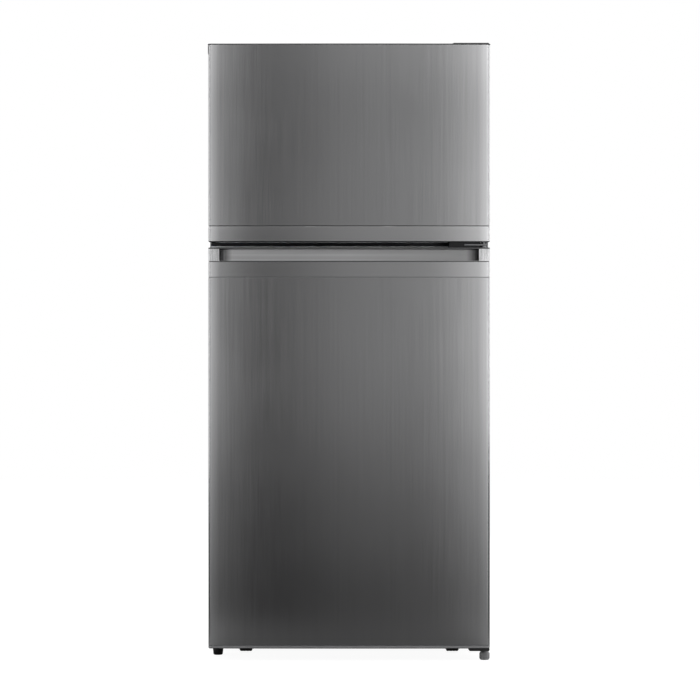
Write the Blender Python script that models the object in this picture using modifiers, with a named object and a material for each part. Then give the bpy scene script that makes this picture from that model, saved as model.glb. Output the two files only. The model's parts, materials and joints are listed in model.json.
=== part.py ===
"""Top freezer refrigerator, built as separate named pieces.

Metres, +Z up. The front faces -Y, the doors are hinged at +X, and the origin is the centre of the floor area.
"""

import math

import bmesh
import bpy
from mathutils import Matrix, Vector

# Overall size
HEIGHT = 1.672
FRONT_Y = -0.384
BACK_Y = 0.384
CAP_HALF = 0.380

# General clearances
GAP = 0.0003
PAST = 0.02
OVERLAP = 0.001

# Cabinet
CABINET_HALF = 0.3775
CABINET_FRONT = -0.312
CABINET_BACK = 0.3745
CABINET_LOW = 0.040
CABINET_TOP = 1.656
SHEET = 0.0012
FRAME_HALF = 0.332
FRAME_TOP = 1.606
RAIL_BACK = -0.300

# Compartments: inner faces of the liners
LINER_HALF = 0.3225
LINER_WALL = 0.002
FREEZER_LOW = 1.150
FREEZER_TOP = 1.600
FREEZER_BACK = 0.300
FRIDGE_LOW = 0.100
FRIDGE_TOP = 1.092
FRIDGE_BACK = 0.310
STEP_FOOT_Y = 0.110
STEP_HEAD_Y = 0.155
STEP_TOP = 0.345
LINER_LIP = 0.0088
LOWER_LIP = 0.0072

# Machine compartment
DECK_LOW = 0.044
DECK_SHEET = 0.0015
DECK_FOOT_Y = 0.165
DECK_HEAD_Y = 0.215
DECK_TOP = 0.300

# Doors
DOOR_HALF = 0.3785
DOOR_BACK = -0.322
DOOR_SKIN = 0.001
CROWN = 0.003
CORNER_RADIUS = 0.008
TRIM_WALL = 0.002
FRIDGE_DOOR_LOW = 0.0345
BOTTOM_CAP_TOP = 0.042
HANDLE_LOW = 1.033
HANDLE_LIP = 1.0763
POCKET_TOP = 1.1088
FRIDGE_DOOR_TOP = 1.112
FREEZER_DOOR_LOW = 1.129
GRIP_TOP = 1.170
FREEZER_SKIN_TOP = 1.6575
FREEZER_DOOR_TOP = 1.660
LINER_PLATE = 0.002
DIKE_HALF = 0.310
DIKE_WIDTH = 0.0195
DIKE_BACK = -0.270
BIN_BACK = -0.207
BIN_WALL = 0.0022
GASKET_HALF = 0.350
GASKET_WIDTH = 0.016

# Hinge line
HINGE_X = 0.362
HINGE_Y = -0.357
PIN_RADIUS = 0.004
BORE_RADIUS = 0.0045

# Shelves
SHELF_FRONT = -0.188
SHELF_BACK = 0.272
SHELF_HALF = 0.3195
SHELF_HEIGHT = 0.014
RAIL_TOPS = {"lower": 0.560, "upper": 0.800, "crisper": 0.335, "freezer": 1.345}

# Feet and rollers
RIGHT_FOOT = (0.366, -0.344)
LEFT_FOOT = (-0.360, -0.244)
STUD_LOW = 0.006
FOOT_TOP = 0.022
FRONT_ROLLER = (0.286, -0.184, 0.018)
REAR_ROLLER = (0.300, 0.330, 0.018)
AXLE_RADIUS = 0.003

COLOURS = {
    "skin_steel": ((0.22, 0.22, 0.225), 0.35, 1.0),
    "trim_steel": ((0.26, 0.26, 0.265), 0.35, 1.0),
    "grey_paint": ((0.20, 0.20, 0.205), 0.5, 0.2),
    "zinc_steel": ((0.60, 0.60, 0.62), 0.4, 1.0),
    "black_paint": ((0.02, 0.02, 0.02), 0.4, 0.2),
    "aluminium": ((0.75, 0.76, 0.77), 0.35, 1.0),
    "white_plastic": ((0.86, 0.87, 0.87), 0.4, 0.0),
    "grey_plastic": ((0.45, 0.46, 0.47), 0.5, 0.0),
    "black_plastic": ((0.02, 0.02, 0.02), 0.5, 0.0),
    "clear_plastic": ((0.85, 0.90, 0.92), 0.1, 0.0),
    "glass": ((0.80, 0.88, 0.86), 0.05, 0.0),
    "gasket_rubber": ((0.35, 0.35, 0.36), 0.7, 0.0),
    "foam": ((0.85, 0.78, 0.55), 0.9, 0.0),
}


def clear_scene():
    for old in list(bpy.data.objects):
        bpy.data.objects.remove(old, do_unlink=True)


def new_collection(name, hidden):
    group = bpy.data.collections.new(name)
    bpy.context.scene.collection.children.link(group)
    group.hide_render = hidden
    return group


def make_materials():
    made = {}
    for name, (colour, roughness, metallic) in COLOURS.items():
        material = bpy.data.materials.new(name)
        material.use_nodes = True
        shader = material.node_tree.nodes["Principled BSDF"]
        shader.inputs["Base Color"].default_value = (*colour, 1.0)
        shader.inputs["Roughness"].default_value = roughness
        shader.inputs["Metallic"].default_value = metallic
        made[name] = material
    return made


clear_scene()
PARTS = new_collection("refrigerator", hidden=False)
HELPERS = new_collection("cutters", hidden=True)
MATERIALS = make_materials()


def keep(name, mesh, place, material):
    """Puts a mesh in the scene: as a part if it has a material, and as a hidden helper if it has none."""
    shape = bpy.data.objects.new(name, mesh)
    shape.matrix_world = place
    if material:
        mesh.materials.clear()
        mesh.materials.append(MATERIALS[material])
        PARTS.objects.link(shape)
    else:
        HELPERS.objects.link(shape)
        shape.hide_render = True
        shape.display_type = "WIRE"
    return shape


def box(name, low, high, material=None):
    """A box between two corners, with its origin at its centre."""
    low = Vector(low)
    high = Vector(high)
    shape = bmesh.new()
    bmesh.ops.create_cube(shape, size=1.0)
    bmesh.ops.scale(shape, vec=high - low, verts=shape.verts)
    mesh = bpy.data.meshes.new(name)
    shape.to_mesh(mesh)
    shape.free()
    return keep(name, mesh, Matrix.Translation((low + high) / 2), material)


PLANES = {
    "X": Matrix(((0, 0, 1), (1, 0, 0), (0, 1, 0))),
    "Y": Matrix(((1, 0, 0), (0, 0, -1), (0, 1, 0))),
    "Z": Matrix.Identity(3),
}


def prism(name, outlines, axis, low, high, material=None):
    """Flat outlines extruded along an axis from low to high. An outline inside another is a hole.

    Its points are (y, z) for axis X, (x, z) for axis Y and (x, y) for axis Z.
    """
    curve = bpy.data.curves.new(name, "CURVE")
    curve.dimensions = "2D"
    curve.fill_mode = "BOTH"
    curve.extrude = (high - low) / 2
    for outline in outlines:
        spline = curve.splines.new("POLY")
        spline.points.add(len(outline) - 1)
        for point, (across, up) in zip(spline.points, outline):
            point.co = (across, up, 0, 1)
        spline.use_cyclic_u = True
    source = bpy.data.objects.new(name + "_curve", curve)
    bpy.context.scene.collection.objects.link(source)
    place = PLANES[axis].to_4x4()
    place.translation = Vector([(low + high) / 2 if axis == each else 0 for each in "XYZ"])
    source.matrix_world = place
    graph = bpy.context.evaluated_depsgraph_get()
    mesh = bpy.data.meshes.new_from_object(source.evaluated_get(graph))
    bpy.data.objects.remove(source, do_unlink=True)
    welded = bmesh.new()
    welded.from_mesh(mesh)
    bmesh.ops.remove_doubles(welded, verts=welded.verts, dist=0.00001)
    bmesh.ops.recalc_face_normals(welded, faces=welded.faces)
    welded.to_mesh(mesh)
    welded.free()
    mesh.name = name
    return keep(name, mesh, place, material)


def rod(name, centre, radius, length, axis, material=None, sides=16):
    """A round bar about the middle of its length."""
    shape = bmesh.new()
    bmesh.ops.create_cone(shape, cap_ends=True, segments=sides, radius1=radius, radius2=radius, depth=length)
    mesh = bpy.data.meshes.new(name)
    shape.to_mesh(mesh)
    shape.free()
    turn = Vector((0, 0, 1)).rotation_difference(Vector(axis)).to_matrix().to_4x4()
    return keep(name, mesh, Matrix.Translation(centre) @ turn, material)


def turned(name, profile, centre, axis, material=None, steps=24):
    """A profile of (radius, height) points turned about the axis through the centre."""
    shape = bmesh.new()
    points = [shape.verts.new((radius, 0, height)) for radius, height in profile]
    for first, second in zip(points, points[1:]):
        shape.edges.new((first, second))
    mesh = bpy.data.meshes.new(name)
    shape.to_mesh(mesh)
    shape.free()
    turn = Vector((0, 0, 1)).rotation_difference(Vector(axis)).to_matrix().to_4x4()
    turned_shape = keep(name, mesh, Matrix.Translation(centre) @ turn, material)
    screw = turned_shape.modifiers.new("Turn", "SCREW")
    screw.steps = steps
    screw.render_steps = steps
    screw.use_merge_vertices = True
    screw.merge_threshold = 0.00005
    return turned_shape


def combine(target, helper, operation):
    modifier = target.modifiers.new(operation.title(), "BOOLEAN")
    modifier.operation = operation
    modifier.object = helper
    modifier.solver = "EXACT"


def cut(target, helper):
    combine(target, helper, "DIFFERENCE")


def join(target, helper):
    combine(target, helper, "UNION")


def cut_box(target, low, high):
    cut(target, box(target.name + "_cut", low, high))


def join_box(target, low, high):
    join(target, box(target.name + "_join", low, high))


def soften(target, width, segments=2):
    """Rounds the edges that the shape has so far."""
    bevel = target.modifiers.new("Bevel", "BEVEL")
    bevel.width = width
    bevel.segments = segments
    bevel.limit_method = "ANGLE"


def pivot(name, place):
    """An empty on a joint's axis, which moving pieces hang from."""
    empty = bpy.data.objects.new(name, None)
    empty.location = place
    PARTS.objects.link(empty)
    return empty


def hang(pieces, empty):
    """Parents the pieces to the empty, and with each piece the helpers that cut it or join it."""
    for piece in pieces:
        helpers = [modifier.object for modifier in piece.modifiers if modifier.type == "BOOLEAN"]
        if helpers:
            hang(helpers, empty)
        piece.parent = empty
        piece.matrix_parent_inverse = Matrix.Translation(-empty.location)


def arc(centre, radius, start, end, steps):
    """Points on an arc, with its angles in degrees."""
    points = []
    for step in range(steps + 1):
        angle = math.radians(start + (end - start) * step / steps)
        points.append((centre[0] + radius * math.cos(angle), centre[1] + radius * math.sin(angle)))
    return points


def rounded_rectangle(low, high, radius, steps=3):
    corners = (
        ((high[0] - radius, high[1] - radius), 0),
        ((low[0] + radius, high[1] - radius), 90),
        ((low[0] + radius, low[1] + radius), 180),
        ((high[0] - radius, low[1] + radius), 270),
    )
    points = []
    for centre, start in corners:
        points += arc(centre, radius, start, start + 90, steps)
    return points


def rectangle(half_width, low, high):
    return [(-half_width, low), (half_width, low), (half_width, high), (-half_width, high)]


def sheet_outline(path, thickness):
    """The outline of a bent sheet that lies to the left of its path."""
    offset = []
    for index, point in enumerate(path):
        here = Vector(point)
        before = (here - Vector(path[max(index - 1, 0)])).normalized()
        after = (Vector(path[min(index + 1, len(path) - 1)]) - here).normalized()
        before = before if index else after
        after = after if index < len(path) - 1 else before
        side = Vector((-before.y - after.y, before.x + after.x)).normalized()
        reach = thickness / side.dot(Vector((-before.y, before.x)))
        offset.append(tuple(here + side * reach))
    return list(path) + offset[::-1]


def door_edge(half, inset, back):
    """The plan line of a door from its back left corner round the crowned front to its back right corner."""
    side = half - inset
    front = FRONT_Y + inset
    radius = CORNER_RADIUS - inset
    flat = side - radius
    shoulder = front + CROWN + radius
    line = [(-side, back)]
    line += arc((-flat, shoulder), radius, 180, 270, 3)
    for step in range(1, 8):
        across = flat * (step / 4 - 1)
        line.append((across, front + CROWN * (across / flat) ** 2))
    line += arc((flat, shoulder), radius, 270, 360, 3)
    line.append((side, back))
    return line


def door_block(name, low, high, inset=0.0, half=DOOR_HALF, back=DOOR_BACK - LINER_PLATE - GAP, material=None):
    return prism(name, [door_edge(half, inset, back)], "Z", low, high, material)


# Cabinet


def cabinet_shell():
    inner = CABINET_HALF - SHEET
    low = (-CABINET_HALF, CABINET_FRONT, CABINET_LOW)
    shell = box("cabinet_shell", low, (CABINET_HALF, CABINET_BACK, CABINET_TOP), "grey_paint")
    below = CABINET_LOW - PAST
    cut_box(shell, (-inner, CABINET_FRONT + SHEET, below), (inner, CABINET_BACK + PAST, CABINET_TOP - SHEET))
    cut_box(shell, (-FRAME_HALF, CABINET_FRONT - PAST, below), (FRAME_HALF, CABINET_FRONT + PAST, FRAME_TOP))


def rear_panel():
    front = CABINET_BACK + GAP
    back = front + 0.001
    panel = box("rear_panel", (-CABINET_HALF, front, 0.302), (CABINET_HALF, back, CABINET_TOP), "zinc_steel")
    for side in (-1, 1):
        low = (side * 0.25 - 0.015, back - OVERLAP / 2, 1.440)
        join_box(panel, low, (side * 0.25 + 0.015, BACK_Y, 1.500))


def deck_path(drop=0.0):
    """The underside of the base deck, from the front to the back, lowered by drop."""
    return [
        (RAIL_BACK + 0.0005, DECK_LOW - drop),
        (DECK_FOOT_Y + drop, DECK_LOW - drop),
        (DECK_HEAD_Y + drop, DECK_TOP - drop),
        (CABINET_BACK - GAP, DECK_TOP - drop),
    ]


def base_deck():
    outline = sheet_outline(deck_path(), DECK_SHEET)
    half = CABINET_HALF - SHEET - GAP
    deck = prism("base_deck", [outline], "X", -half, half, "zinc_steel")
    add_axle_brackets(deck, FRONT_ROLLER, 0.018, DECK_LOW + 0.0008)


def add_axle_brackets(target, roller, half_width, top):
    """Two cheeks with an axle between them, for the roller at each side."""
    for side in (-1, 1):
        across, along, height = side * roller[0], roller[1], roller[2]
        for edge in (-1, 1):
            middle = across + edge * (half_width + 0.002)
            low = (middle - 0.001, along - 0.011, 0.009)
            join_box(target, low, (middle + 0.001, along + 0.011, top))
        axle = rod("axle", (across, along, height), AXLE_RADIUS, 2 * half_width + 0.004, (1, 0, 0), sides=12)
        join(target, axle)


def fridge_profile(inset):
    """The side outline of the fridge liner's space, grown outward by -inset."""
    low = FRIDGE_LOW + inset
    top = FRIDGE_TOP - inset
    back = FRIDGE_BACK - inset
    return [
        (CABINET_FRONT + SHEET / 2, low),
        (STEP_FOOT_Y - inset, low),
        (STEP_HEAD_Y - inset, STEP_TOP + inset),
        (back, STEP_TOP + inset),
        (back, top),
        (CABINET_FRONT + SHEET / 2, top),
    ]


def cabinet_insulation():
    half = CABINET_HALF - SHEET - GAP
    front = CABINET_FRONT + SHEET + GAP
    top = CABINET_TOP - SHEET - GAP
    back = CABINET_BACK - GAP
    deck = deck_path(-DECK_SHEET - GAP)
    outline = [(front, DECK_LOW + DECK_SHEET + GAP), *deck[1:3], (back, deck[2][1]), (back, top), (front, top)]
    foam = prism("cabinet_insulation", [outline], "X", -half, half, "foam")
    wall = LINER_WALL + GAP
    low = (-LINER_HALF - wall, CABINET_FRONT - PAST, FREEZER_LOW - wall)
    cut_box(foam, low, (LINER_HALF + wall, FREEZER_BACK + wall, FREEZER_TOP + wall))
    profile = fridge_profile(-wall)
    profile[0] = (CABINET_FRONT - PAST, profile[0][1])
    profile[5] = (CABINET_FRONT - PAST, profile[5][1])
    cut(foam, prism("fridge_space", [profile], "X", -LINER_HALF - wall, LINER_HALF + wall))
    for low_z, high_z in (mullion_span(GAP), (CABINET_LOW - PAST, FRIDGE_LOW - LOWER_LIP)):
        rail_low = (-FRAME_HALF - GAP, CABINET_FRONT - PAST, low_z)
        cut_box(foam, rail_low, (FRAME_HALF + GAP, RAIL_BACK + GAP, high_z))


def mullion_span(grow):
    """The heights between the two liners' lips, with a gap at each end."""
    return FRIDGE_TOP + LINER_LIP + GAP - grow, FREEZER_LOW - LINER_LIP - GAP + grow


def front_rail(name, low, high):
    """A steel channel across the front frame, open to the back."""
    half = FRAME_HALF - GAP
    rail = box(name, (-half, CABINET_FRONT, low), (half, RAIL_BACK, high), "grey_paint")
    inner = (half - SHEET, RAIL_BACK + PAST, high - SHEET)
    cut_box(rail, (SHEET - half, CABINET_FRONT + SHEET, low + SHEET), inner)


def add_shelf_rails(liner, top, front, back):
    for side in (-1, 1):
        near, far = sorted((side * (LINER_HALF - 0.006), side * (LINER_HALF + OVERLAP)))
        join_box(liner, (near, front, top - 0.008), (far, back, top))


def freezer_liner():
    wall = LINER_WALL
    low = (-LINER_HALF - wall, CABINET_FRONT + SHEET / 2, FREEZER_LOW - wall)
    high = (LINER_HALF + wall, FREEZER_BACK + wall, FREEZER_TOP + wall)
    liner = box("freezer_liner", low, high, "white_plastic")
    lip_low = (-FRAME_HALF + GAP, CABINET_FRONT, FREEZER_LOW - LINER_LIP)
    join_box(liner, lip_low, (FRAME_HALF - GAP, CABINET_FRONT + SHEET, FRAME_TOP - GAP))
    space = rounded_rectangle((-LINER_HALF, FREEZER_LOW), (LINER_HALF, FREEZER_TOP), 0.010)
    cut(liner, prism("freezer_space", [space], "Y", CABINET_FRONT - PAST, FREEZER_BACK))
    add_shelf_rails(liner, RAIL_TOPS["freezer"], -0.190, 0.195)


def fridge_liner():
    wall = LINER_WALL
    half = LINER_HALF + wall
    liner = prism("fridge_liner", [fridge_profile(-wall)], "X", -half, half, "white_plastic")
    lip_low = (-FRAME_HALF + GAP, CABINET_FRONT, FRIDGE_LOW - LOWER_LIP)
    join_box(liner, lip_low, (FRAME_HALF - GAP, CABINET_FRONT + SHEET, FRIDGE_TOP + LINER_LIP))
    profile = fridge_profile(0.0)
    profile[0] = (CABINET_FRONT - PAST, profile[0][1])
    profile[5] = (CABINET_FRONT - PAST, profile[5][1])
    cut(liner, prism("fridge_space_inner", [profile], "X", -LINER_HALF, LINER_HALF))
    add_shelf_rails(liner, RAIL_TOPS["upper"], -0.190, 0.270)
    add_shelf_rails(liner, RAIL_TOPS["lower"], -0.190, 0.270)
    add_shelf_rails(liner, RAIL_TOPS["crisper"], -0.190, 0.140)


# Machine compartment


def compressor_tray():
    half = CABINET_HALF - SHEET - GAP
    low = (-half, 0.160, 0.0410)
    tray = box("compressor_tray", low, (half, 0.3705, 0.0435), "zinc_steel")
    add_axle_brackets(tray, REAR_ROLLER, 0.011, 0.0425)


def compressor():
    centre = (0.170, 0.285, 0.0)
    feet_low = 0.0438
    profile = [(0, 0.214), (0.030, 0.212), (0.055, 0.202), (0.069, 0.184), (0.073, 0.160), (0.073, 0.128)]
    profile += [(0.0765, 0.127), (0.0765, 0.121), (0.073, 0.120), (0.073, 0.085), (0.060, 0.066), (0, 0.062)]
    unit = turned("compressor", profile, centre, (0, 0, 1), "black_paint")
    join_box(unit, (0.088, 0.232, 0.058), (0.252, 0.338, 0.064))
    for across in (0.100, 0.240):
        for along in (0.244, 0.326):
            height = 0.060 - feet_low
            middle = (across, along, feet_low + height / 2)
            join(unit, rod("grommet", middle, 0.009, height, (0, 0, 1), sides=12))


def drain_pan():
    low = Vector((-0.300, 0.222, 0.0438))
    high = Vector((0.060, 0.356, 0.085))
    wall = Vector((0.002, 0.002, 0.002))
    pan = box("drain_pan", low, high, "black_plastic")
    inner_high = high - wall
    inner_high.z = high.z + PAST
    cut_box(pan, low + wall, inner_high)


def machine_cover():
    half = CABINET_HALF - SHEET - GAP
    top = DECK_TOP - GAP
    low = (-half, CABINET_BACK - 0.0022, 0.0440)
    cover = box("machine_cover", low, (half, CABINET_BACK, top), "black_paint")
    for middle in (-0.170, 0.170):
        for row in range(7):
            height = 0.110 + 0.022 * row
            slot = (middle + 0.105, CABINET_BACK + PAST, height + 0.007)
            cut_box(cover, (middle - 0.105, CABINET_BACK - PAST, height), slot)
    cut(cover, rod("inlet_hole", (-0.330, CABINET_BACK, 0.075), 0.0085, 0.04, (0, 1, 0)))


def power_inlet():
    """The bush that the mains lead leaves through, open along its axis."""
    flange_low = CABINET_BACK + GAP
    profile = [(0.0045, 0.007), (0.011, 0.006), (0.012, 0.0), (0.008, 0.0), (0.008, -0.014), (0.0045, -0.014)]
    profile.append(profile[0])
    turned("power_inlet", profile, (-0.330, flange_low, 0.075), (0, 1, 0), "black_plastic", 16)


def evaporator():
    low = (-0.260, 0.245, 1.168)
    coil = box("evaporator", low, (0.260, 0.294, 1.380), "aluminium")
    for number in range(17):
        across = -0.240 + 0.030 * number
        cut_box(coil, (across - 0.011, 0.245 - PAST, 1.178), (across + 0.011, 0.286, 1.370))


def evaporator_cover():
    outline = rounded_rectangle(
        (-LINER_HALF + 0.0005, FREEZER_LOW + 0.0005), (LINER_HALF - 0.0005, FREEZER_TOP - 0.0005), 0.0105
    )
    cover = prism("evaporator_cover", [outline], "Y", 0.218, 0.236, "white_plastic")
    cut_box(cover, (-0.315, 0.221, 1.158), (0.315, 0.236 + PAST, 1.592))
    for row in range(7):
        rise = 0.013 * (row - 3)
        reach = math.sqrt(0.050**2 - rise**2)
        cut_box(cover, (-reach, 0.20, 1.490 + rise - 0.004), (reach, 0.24, 1.490 + rise + 0.004))
    cut_box(cover, (-0.220, 0.20, 1.164), (0.220, 0.24, 1.176))


def fan_motor():
    shaft = [(0, 0.0077), (0.003, 0.0077), (0.003, -0.002)]
    case = [(0.012, -0.002), (0.012, -0.008), (0.026, -0.012), (0.024, -0.034), (0, -0.034)]
    motor = turned("fan_motor", shaft + case, (0, 0.2655, 1.490), (0, -1, 0), "grey_plastic", 16)
    join_box(motor, (-0.060, 0.288, 1.482), (0.060, 0.296, 1.498))


def evaporator_fan():
    centre = Vector((0, 0.2475, 1.490))
    fan = rod("evaporator_fan", centre, 0.014, 0.020, (0, 1, 0), "grey_plastic", 16)
    for number in range(5):
        blade = box("blade", (-0.011, -0.001, 0.010), (0.011, 0.001, 0.045))
        spin = Matrix.Rotation(2 * math.pi * number / 5, 4, "Y")
        pitch = Matrix.Rotation(math.radians(32), 4, "Z")
        blade.matrix_world = Matrix.Translation(centre) @ spin @ pitch @ blade.matrix_world
        join(fan, blade)
    hang([fan], pivot("fan_axis", centre))


def air_duct():
    duct = box("air_duct", (-0.060, 0.290, 0.420), (0.060, FRIDGE_BACK - GAP, 1.040), "white_plastic")
    cut_box(duct, (-0.0575, 0.2925, 0.4225), (0.0575, FRIDGE_BACK + PAST, 1.0375))
    for height in (0.470, 0.640, 0.700, 0.880, 0.940):
        cut_box(duct, (-0.035, 0.280, height), (0.035, 0.300, height + 0.012))


def control_housing():
    top = FRIDGE_TOP - GAP
    housing = box("control_housing", (-0.130, -0.125, 1.054), (0.130, 0.100, top), "white_plastic")
    soften(housing, 0.003)
    cut_box(housing, (0.002, -0.090, 1.030), (0.108, 0.070, 1.078))


def lamp_lens():
    low = Vector((0.002 + GAP, -0.090 + GAP, 1.047))
    high = Vector((0.108 - GAP, 0.070 - GAP, 1.077))
    wall = Vector((0.0015, 0.0015, 0.0015))
    lens = box("lamp_lens", low, high, "clear_plastic")
    inner_high = high - wall
    inner_high.z = high.z + PAST
    cut_box(lens, low + wall, inner_high)


def dial(name, centre, axis_name):
    """A round knob with a raised grip bar, turning about Y."""
    profile = [(0, 0.016), (0.0155, 0.016), (0.0165, 0.015), (0.018, 0.0), (0, 0.0)]
    knob = turned(name, profile, centre, (0, -1, 0), "white_plastic", 24)
    low = (centre[0] - 0.0025, centre[1] - 0.021, centre[2] - 0.0145)
    join_box(knob, low, (centre[0] + 0.0025, centre[1] - 0.010, centre[2] + 0.0145))
    hang([knob], pivot(axis_name, centre))


# Shelves and drawers


def framed_shelf(name, cover_name, rail_top, back):
    """A glass plate lying in the rebate of a plastic frame."""
    low = rail_top + GAP
    high = low + SHELF_HEIGHT
    frame = box(cover_name, (-SHELF_HALF, SHELF_FRONT, low), (SHELF_HALF, back, high), "grey_plastic")
    opening = 0.016
    rebate = 0.006
    cut_box(frame, (opening - SHELF_HALF, SHELF_FRONT + opening, low - PAST),
            (SHELF_HALF - opening, back - opening, high + PAST))
    cut_box(frame, (rebate - SHELF_HALF, SHELF_FRONT + rebate, high - 0.0045),
            (SHELF_HALF - rebate, back - rebate, high + PAST))
    edge = rebate + GAP
    glass_low = (edge - SHELF_HALF, SHELF_FRONT + edge, high - 0.0042)
    box(name, glass_low, (SHELF_HALF - edge, back - edge, high - 0.0002), "glass")


def freezer_shelf():
    low = RAIL_TOPS["freezer"] + GAP
    high = low + 0.006
    half = 0.3205
    back = 0.205
    bar = 0.006
    outer = rectangle(half, SHELF_FRONT, back)
    inner = rectangle(half - bar, SHELF_FRONT + bar, back - bar)
    shelf = prism("freezer_shelf", [outer, inner], "Z", low, high, "white_plastic")
    for number in range(15):
        across = -0.280 + 0.040 * number
        reach = (across + 0.0015, back - bar + OVERLAP, high - 0.001)
        join_box(shelf, (across - 0.0015, SHELF_FRONT + bar - OVERLAP, low + 0.002), reach)


def crisper(name, low_x, high_x, axis_name):
    low = Vector((low_x, -0.185, FRIDGE_LOW + GAP))
    high = Vector((high_x, 0.095, 0.325))
    wall = 0.0025
    drawer = box(name, low, high, "clear_plastic")
    inner_high = (high.x - wall, high.y - wall, high.z + PAST)
    cut_box(drawer, (low.x + wall, low.y + 0.006, low.z + wall), inner_high)
    middle = (low.x + high.x) / 2
    grip_high = (middle + 0.070, low.y + 0.020, high.z + PAST)
    cut_box(drawer, (middle - 0.070, low.y - PAST, high.z - 0.024), grip_high)
    hang([drawer], pivot(axis_name, (middle, low.y, low.z)))


# Hinges and feet


def hinge_pin(target, low, high):
    middle = (HINGE_X, HINGE_Y, (low + high) / 2)
    join(target, rod("pin", middle, PIN_RADIUS, high - low, (0, 0, 1), sides=16))


def pin_bore(target, low, high):
    middle = (HINGE_X, HINGE_Y, (low + high) / 2)
    cut(target, rod("bore", middle, BORE_RADIUS, high - low, (0, 0, 1), sides=16))


def top_hinge():
    plate = box("top_hinge", (0.302, -0.371, 1.6605), (0.373, -0.215, 1.6630), "zinc_steel")
    join_box(plate, (0.302, -0.300, CABINET_TOP + GAP), (0.373, -0.215, 1.6615))
    hinge_pin(plate, 1.6425, 1.6620)


def top_hinge_cover():
    outer = [(-0.3765, 1.6603), (-0.3765, 1.6648), (-0.366, 1.6668), (-0.305, HEIGHT), (-0.205, HEIGHT)]
    outer += [(-0.200, 1.669), (-0.200, 1.6563), (-0.3115, 1.6563), (-0.3115, 1.6603)]
    cover = prism("top_hinge_cover", [outer], "X", 0.281, 0.3765, "black_plastic")
    inner = [(-0.3740, 1.650), (-0.3740, 1.6634), (-0.366, 1.6648), (-0.305, HEIGHT - 0.002)]
    inner += [(-0.207, HEIGHT - 0.002), (-0.202, 1.667), (-0.202, 1.650)]
    cut(cover, prism("hinge_space", [inner], "X", 0.283, 0.3745))


def middle_hinge():
    hinge = box("middle_hinge", (0.287, -0.371, 1.1180), (0.3735, CABINET_FRONT - GAP, 1.1220), "zinc_steel")
    flange_high = (0.3735, CABINET_FRONT - GAP, FREEZER_DOOR_LOW - 0.0008)
    join_box(hinge, (0.287, -0.3153, FRIDGE_DOOR_TOP + 0.0008), flange_high)
    hinge_pin(hinge, 1.0940, 1.1460)
    middle = (HINGE_X, HINGE_Y, 1.1155)
    join(hinge, rod("washer", middle, 0.0085, 0.006, (0, 0, 1), sides=20))


def middle_hinge_cover():
    low = FRIDGE_DOOR_TOP + 0.0006
    high = FREEZER_DOOR_LOW - 0.0006
    cover = box("middle_hinge_cover", (0.269, -0.3765, low), (0.3765, -0.3165, high), "black_plastic")
    cut_box(cover, (0.2850, -0.3733, 1.1172), (0.3765 + PAST, -0.3165 + PAST, 1.1228))
    cut_box(cover, (0.3525, -0.3765 - PAST, low - PAST), (0.3765 + PAST, -0.3165 + PAST, high + PAST))
    cut_box(cover, (0.3100, -0.3765 - PAST, 1.1172), (0.3765 + PAST, -0.3690, 1.1228))


def bottom_hinge():
    plate = box("bottom_hinge", (0.322, -0.372, 0.0283), (0.378, -0.262, 0.0333), "black_paint")
    join_box(plate, (0.322, -0.300, 0.0300), (0.3755, -0.262, DECK_LOW - GAP))
    hinge_pin(plate, 0.0320, 0.0540)
    join(plate, rod("stud", (*RIGHT_FOOT, 0.0180), PIN_RADIUS, 2 * (0.0180 - STUD_LOW), (0, 0, 1), sides=16))


def left_foot_bracket():
    top = DECK_LOW - GAP
    bracket = box("left_foot_bracket", (-0.3755, -0.275, 0.0285), (-0.3445, -0.213, top), "zinc_steel")
    cut_box(bracket, (-0.3735, -0.275 - PAST, 0.0310), (-0.3465, -0.213 + PAST, top - 0.002))
    join(bracket, rod("stud", (*LEFT_FOOT, 0.0180), PIN_RADIUS, 2 * (0.0180 - STUD_LOW), (0, 0, 1), sides=16))


def foot(name, place, profile, axis_name, material):
    """A foot that screws along its stud, with a blind bore from above."""
    level = turned(name, profile, (*place, 0.0), (0, 0, 1), material, 24)
    hang([level], pivot(axis_name, (*place, 0.0)))


def foot_bore():
    return [(PIN_RADIUS + GAP, FOOT_TOP), (PIN_RADIUS + GAP, 0.0045), (0, 0.0045)]


def roller(name, side, place, half_width, radius, axis_name):
    across = side * place[0]
    bore = AXLE_RADIUS + GAP
    rim = radius - 0.002
    edge = half_width - 0.003
    profile = [(bore, half_width), (rim, half_width), (radius, edge), (radius, -edge)]
    profile += [(rim, -half_width), (bore, -half_width), (bore, half_width)]
    centre = (across, place[1], place[2])
    wheel = turned(name, profile, centre, (1, 0, 0), "black_plastic", 24)
    hang([wheel], pivot(axis_name, centre))


# Doors


def door_skin(name, low, high):
    back = DOOR_BACK - LINER_PLATE - GAP
    outline = door_edge(DOOR_HALF, 0.0, back) + door_edge(DOOR_HALF, DOOR_SKIN, back)[::-1]
    return prism(name, [outline], "Z", low, high, "skin_steel")


def dike_ring(name, low, high, inset, front, back):
    outer = rectangle(DIKE_HALF - inset, low + inset, high - inset)
    inner = rectangle(DIKE_HALF - DIKE_WIDTH + inset, low + DIKE_WIDTH - inset, high - DIKE_WIDTH + inset)
    return prism(name, [outer, inner], "Y", front, back)


def door_liner(name, plate, dike):
    """The inner face of a door: a plate with a hollow raised ring that holds the bins."""
    front = DOOR_BACK - LINER_PLATE
    half = DOOR_HALF - 0.0015
    liner = box(name, (-half, front, plate[0]), (half, DOOR_BACK, plate[1]), "white_plastic")
    join(liner, dike_ring(name + "_ring", *dike, 0.0, front + OVERLAP / 2, DIKE_BACK))
    cut(liner, dike_ring(name + "_hollow", *dike, LINER_WALL, front - PAST, DIKE_BACK - LINER_WALL))
    return liner


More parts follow.
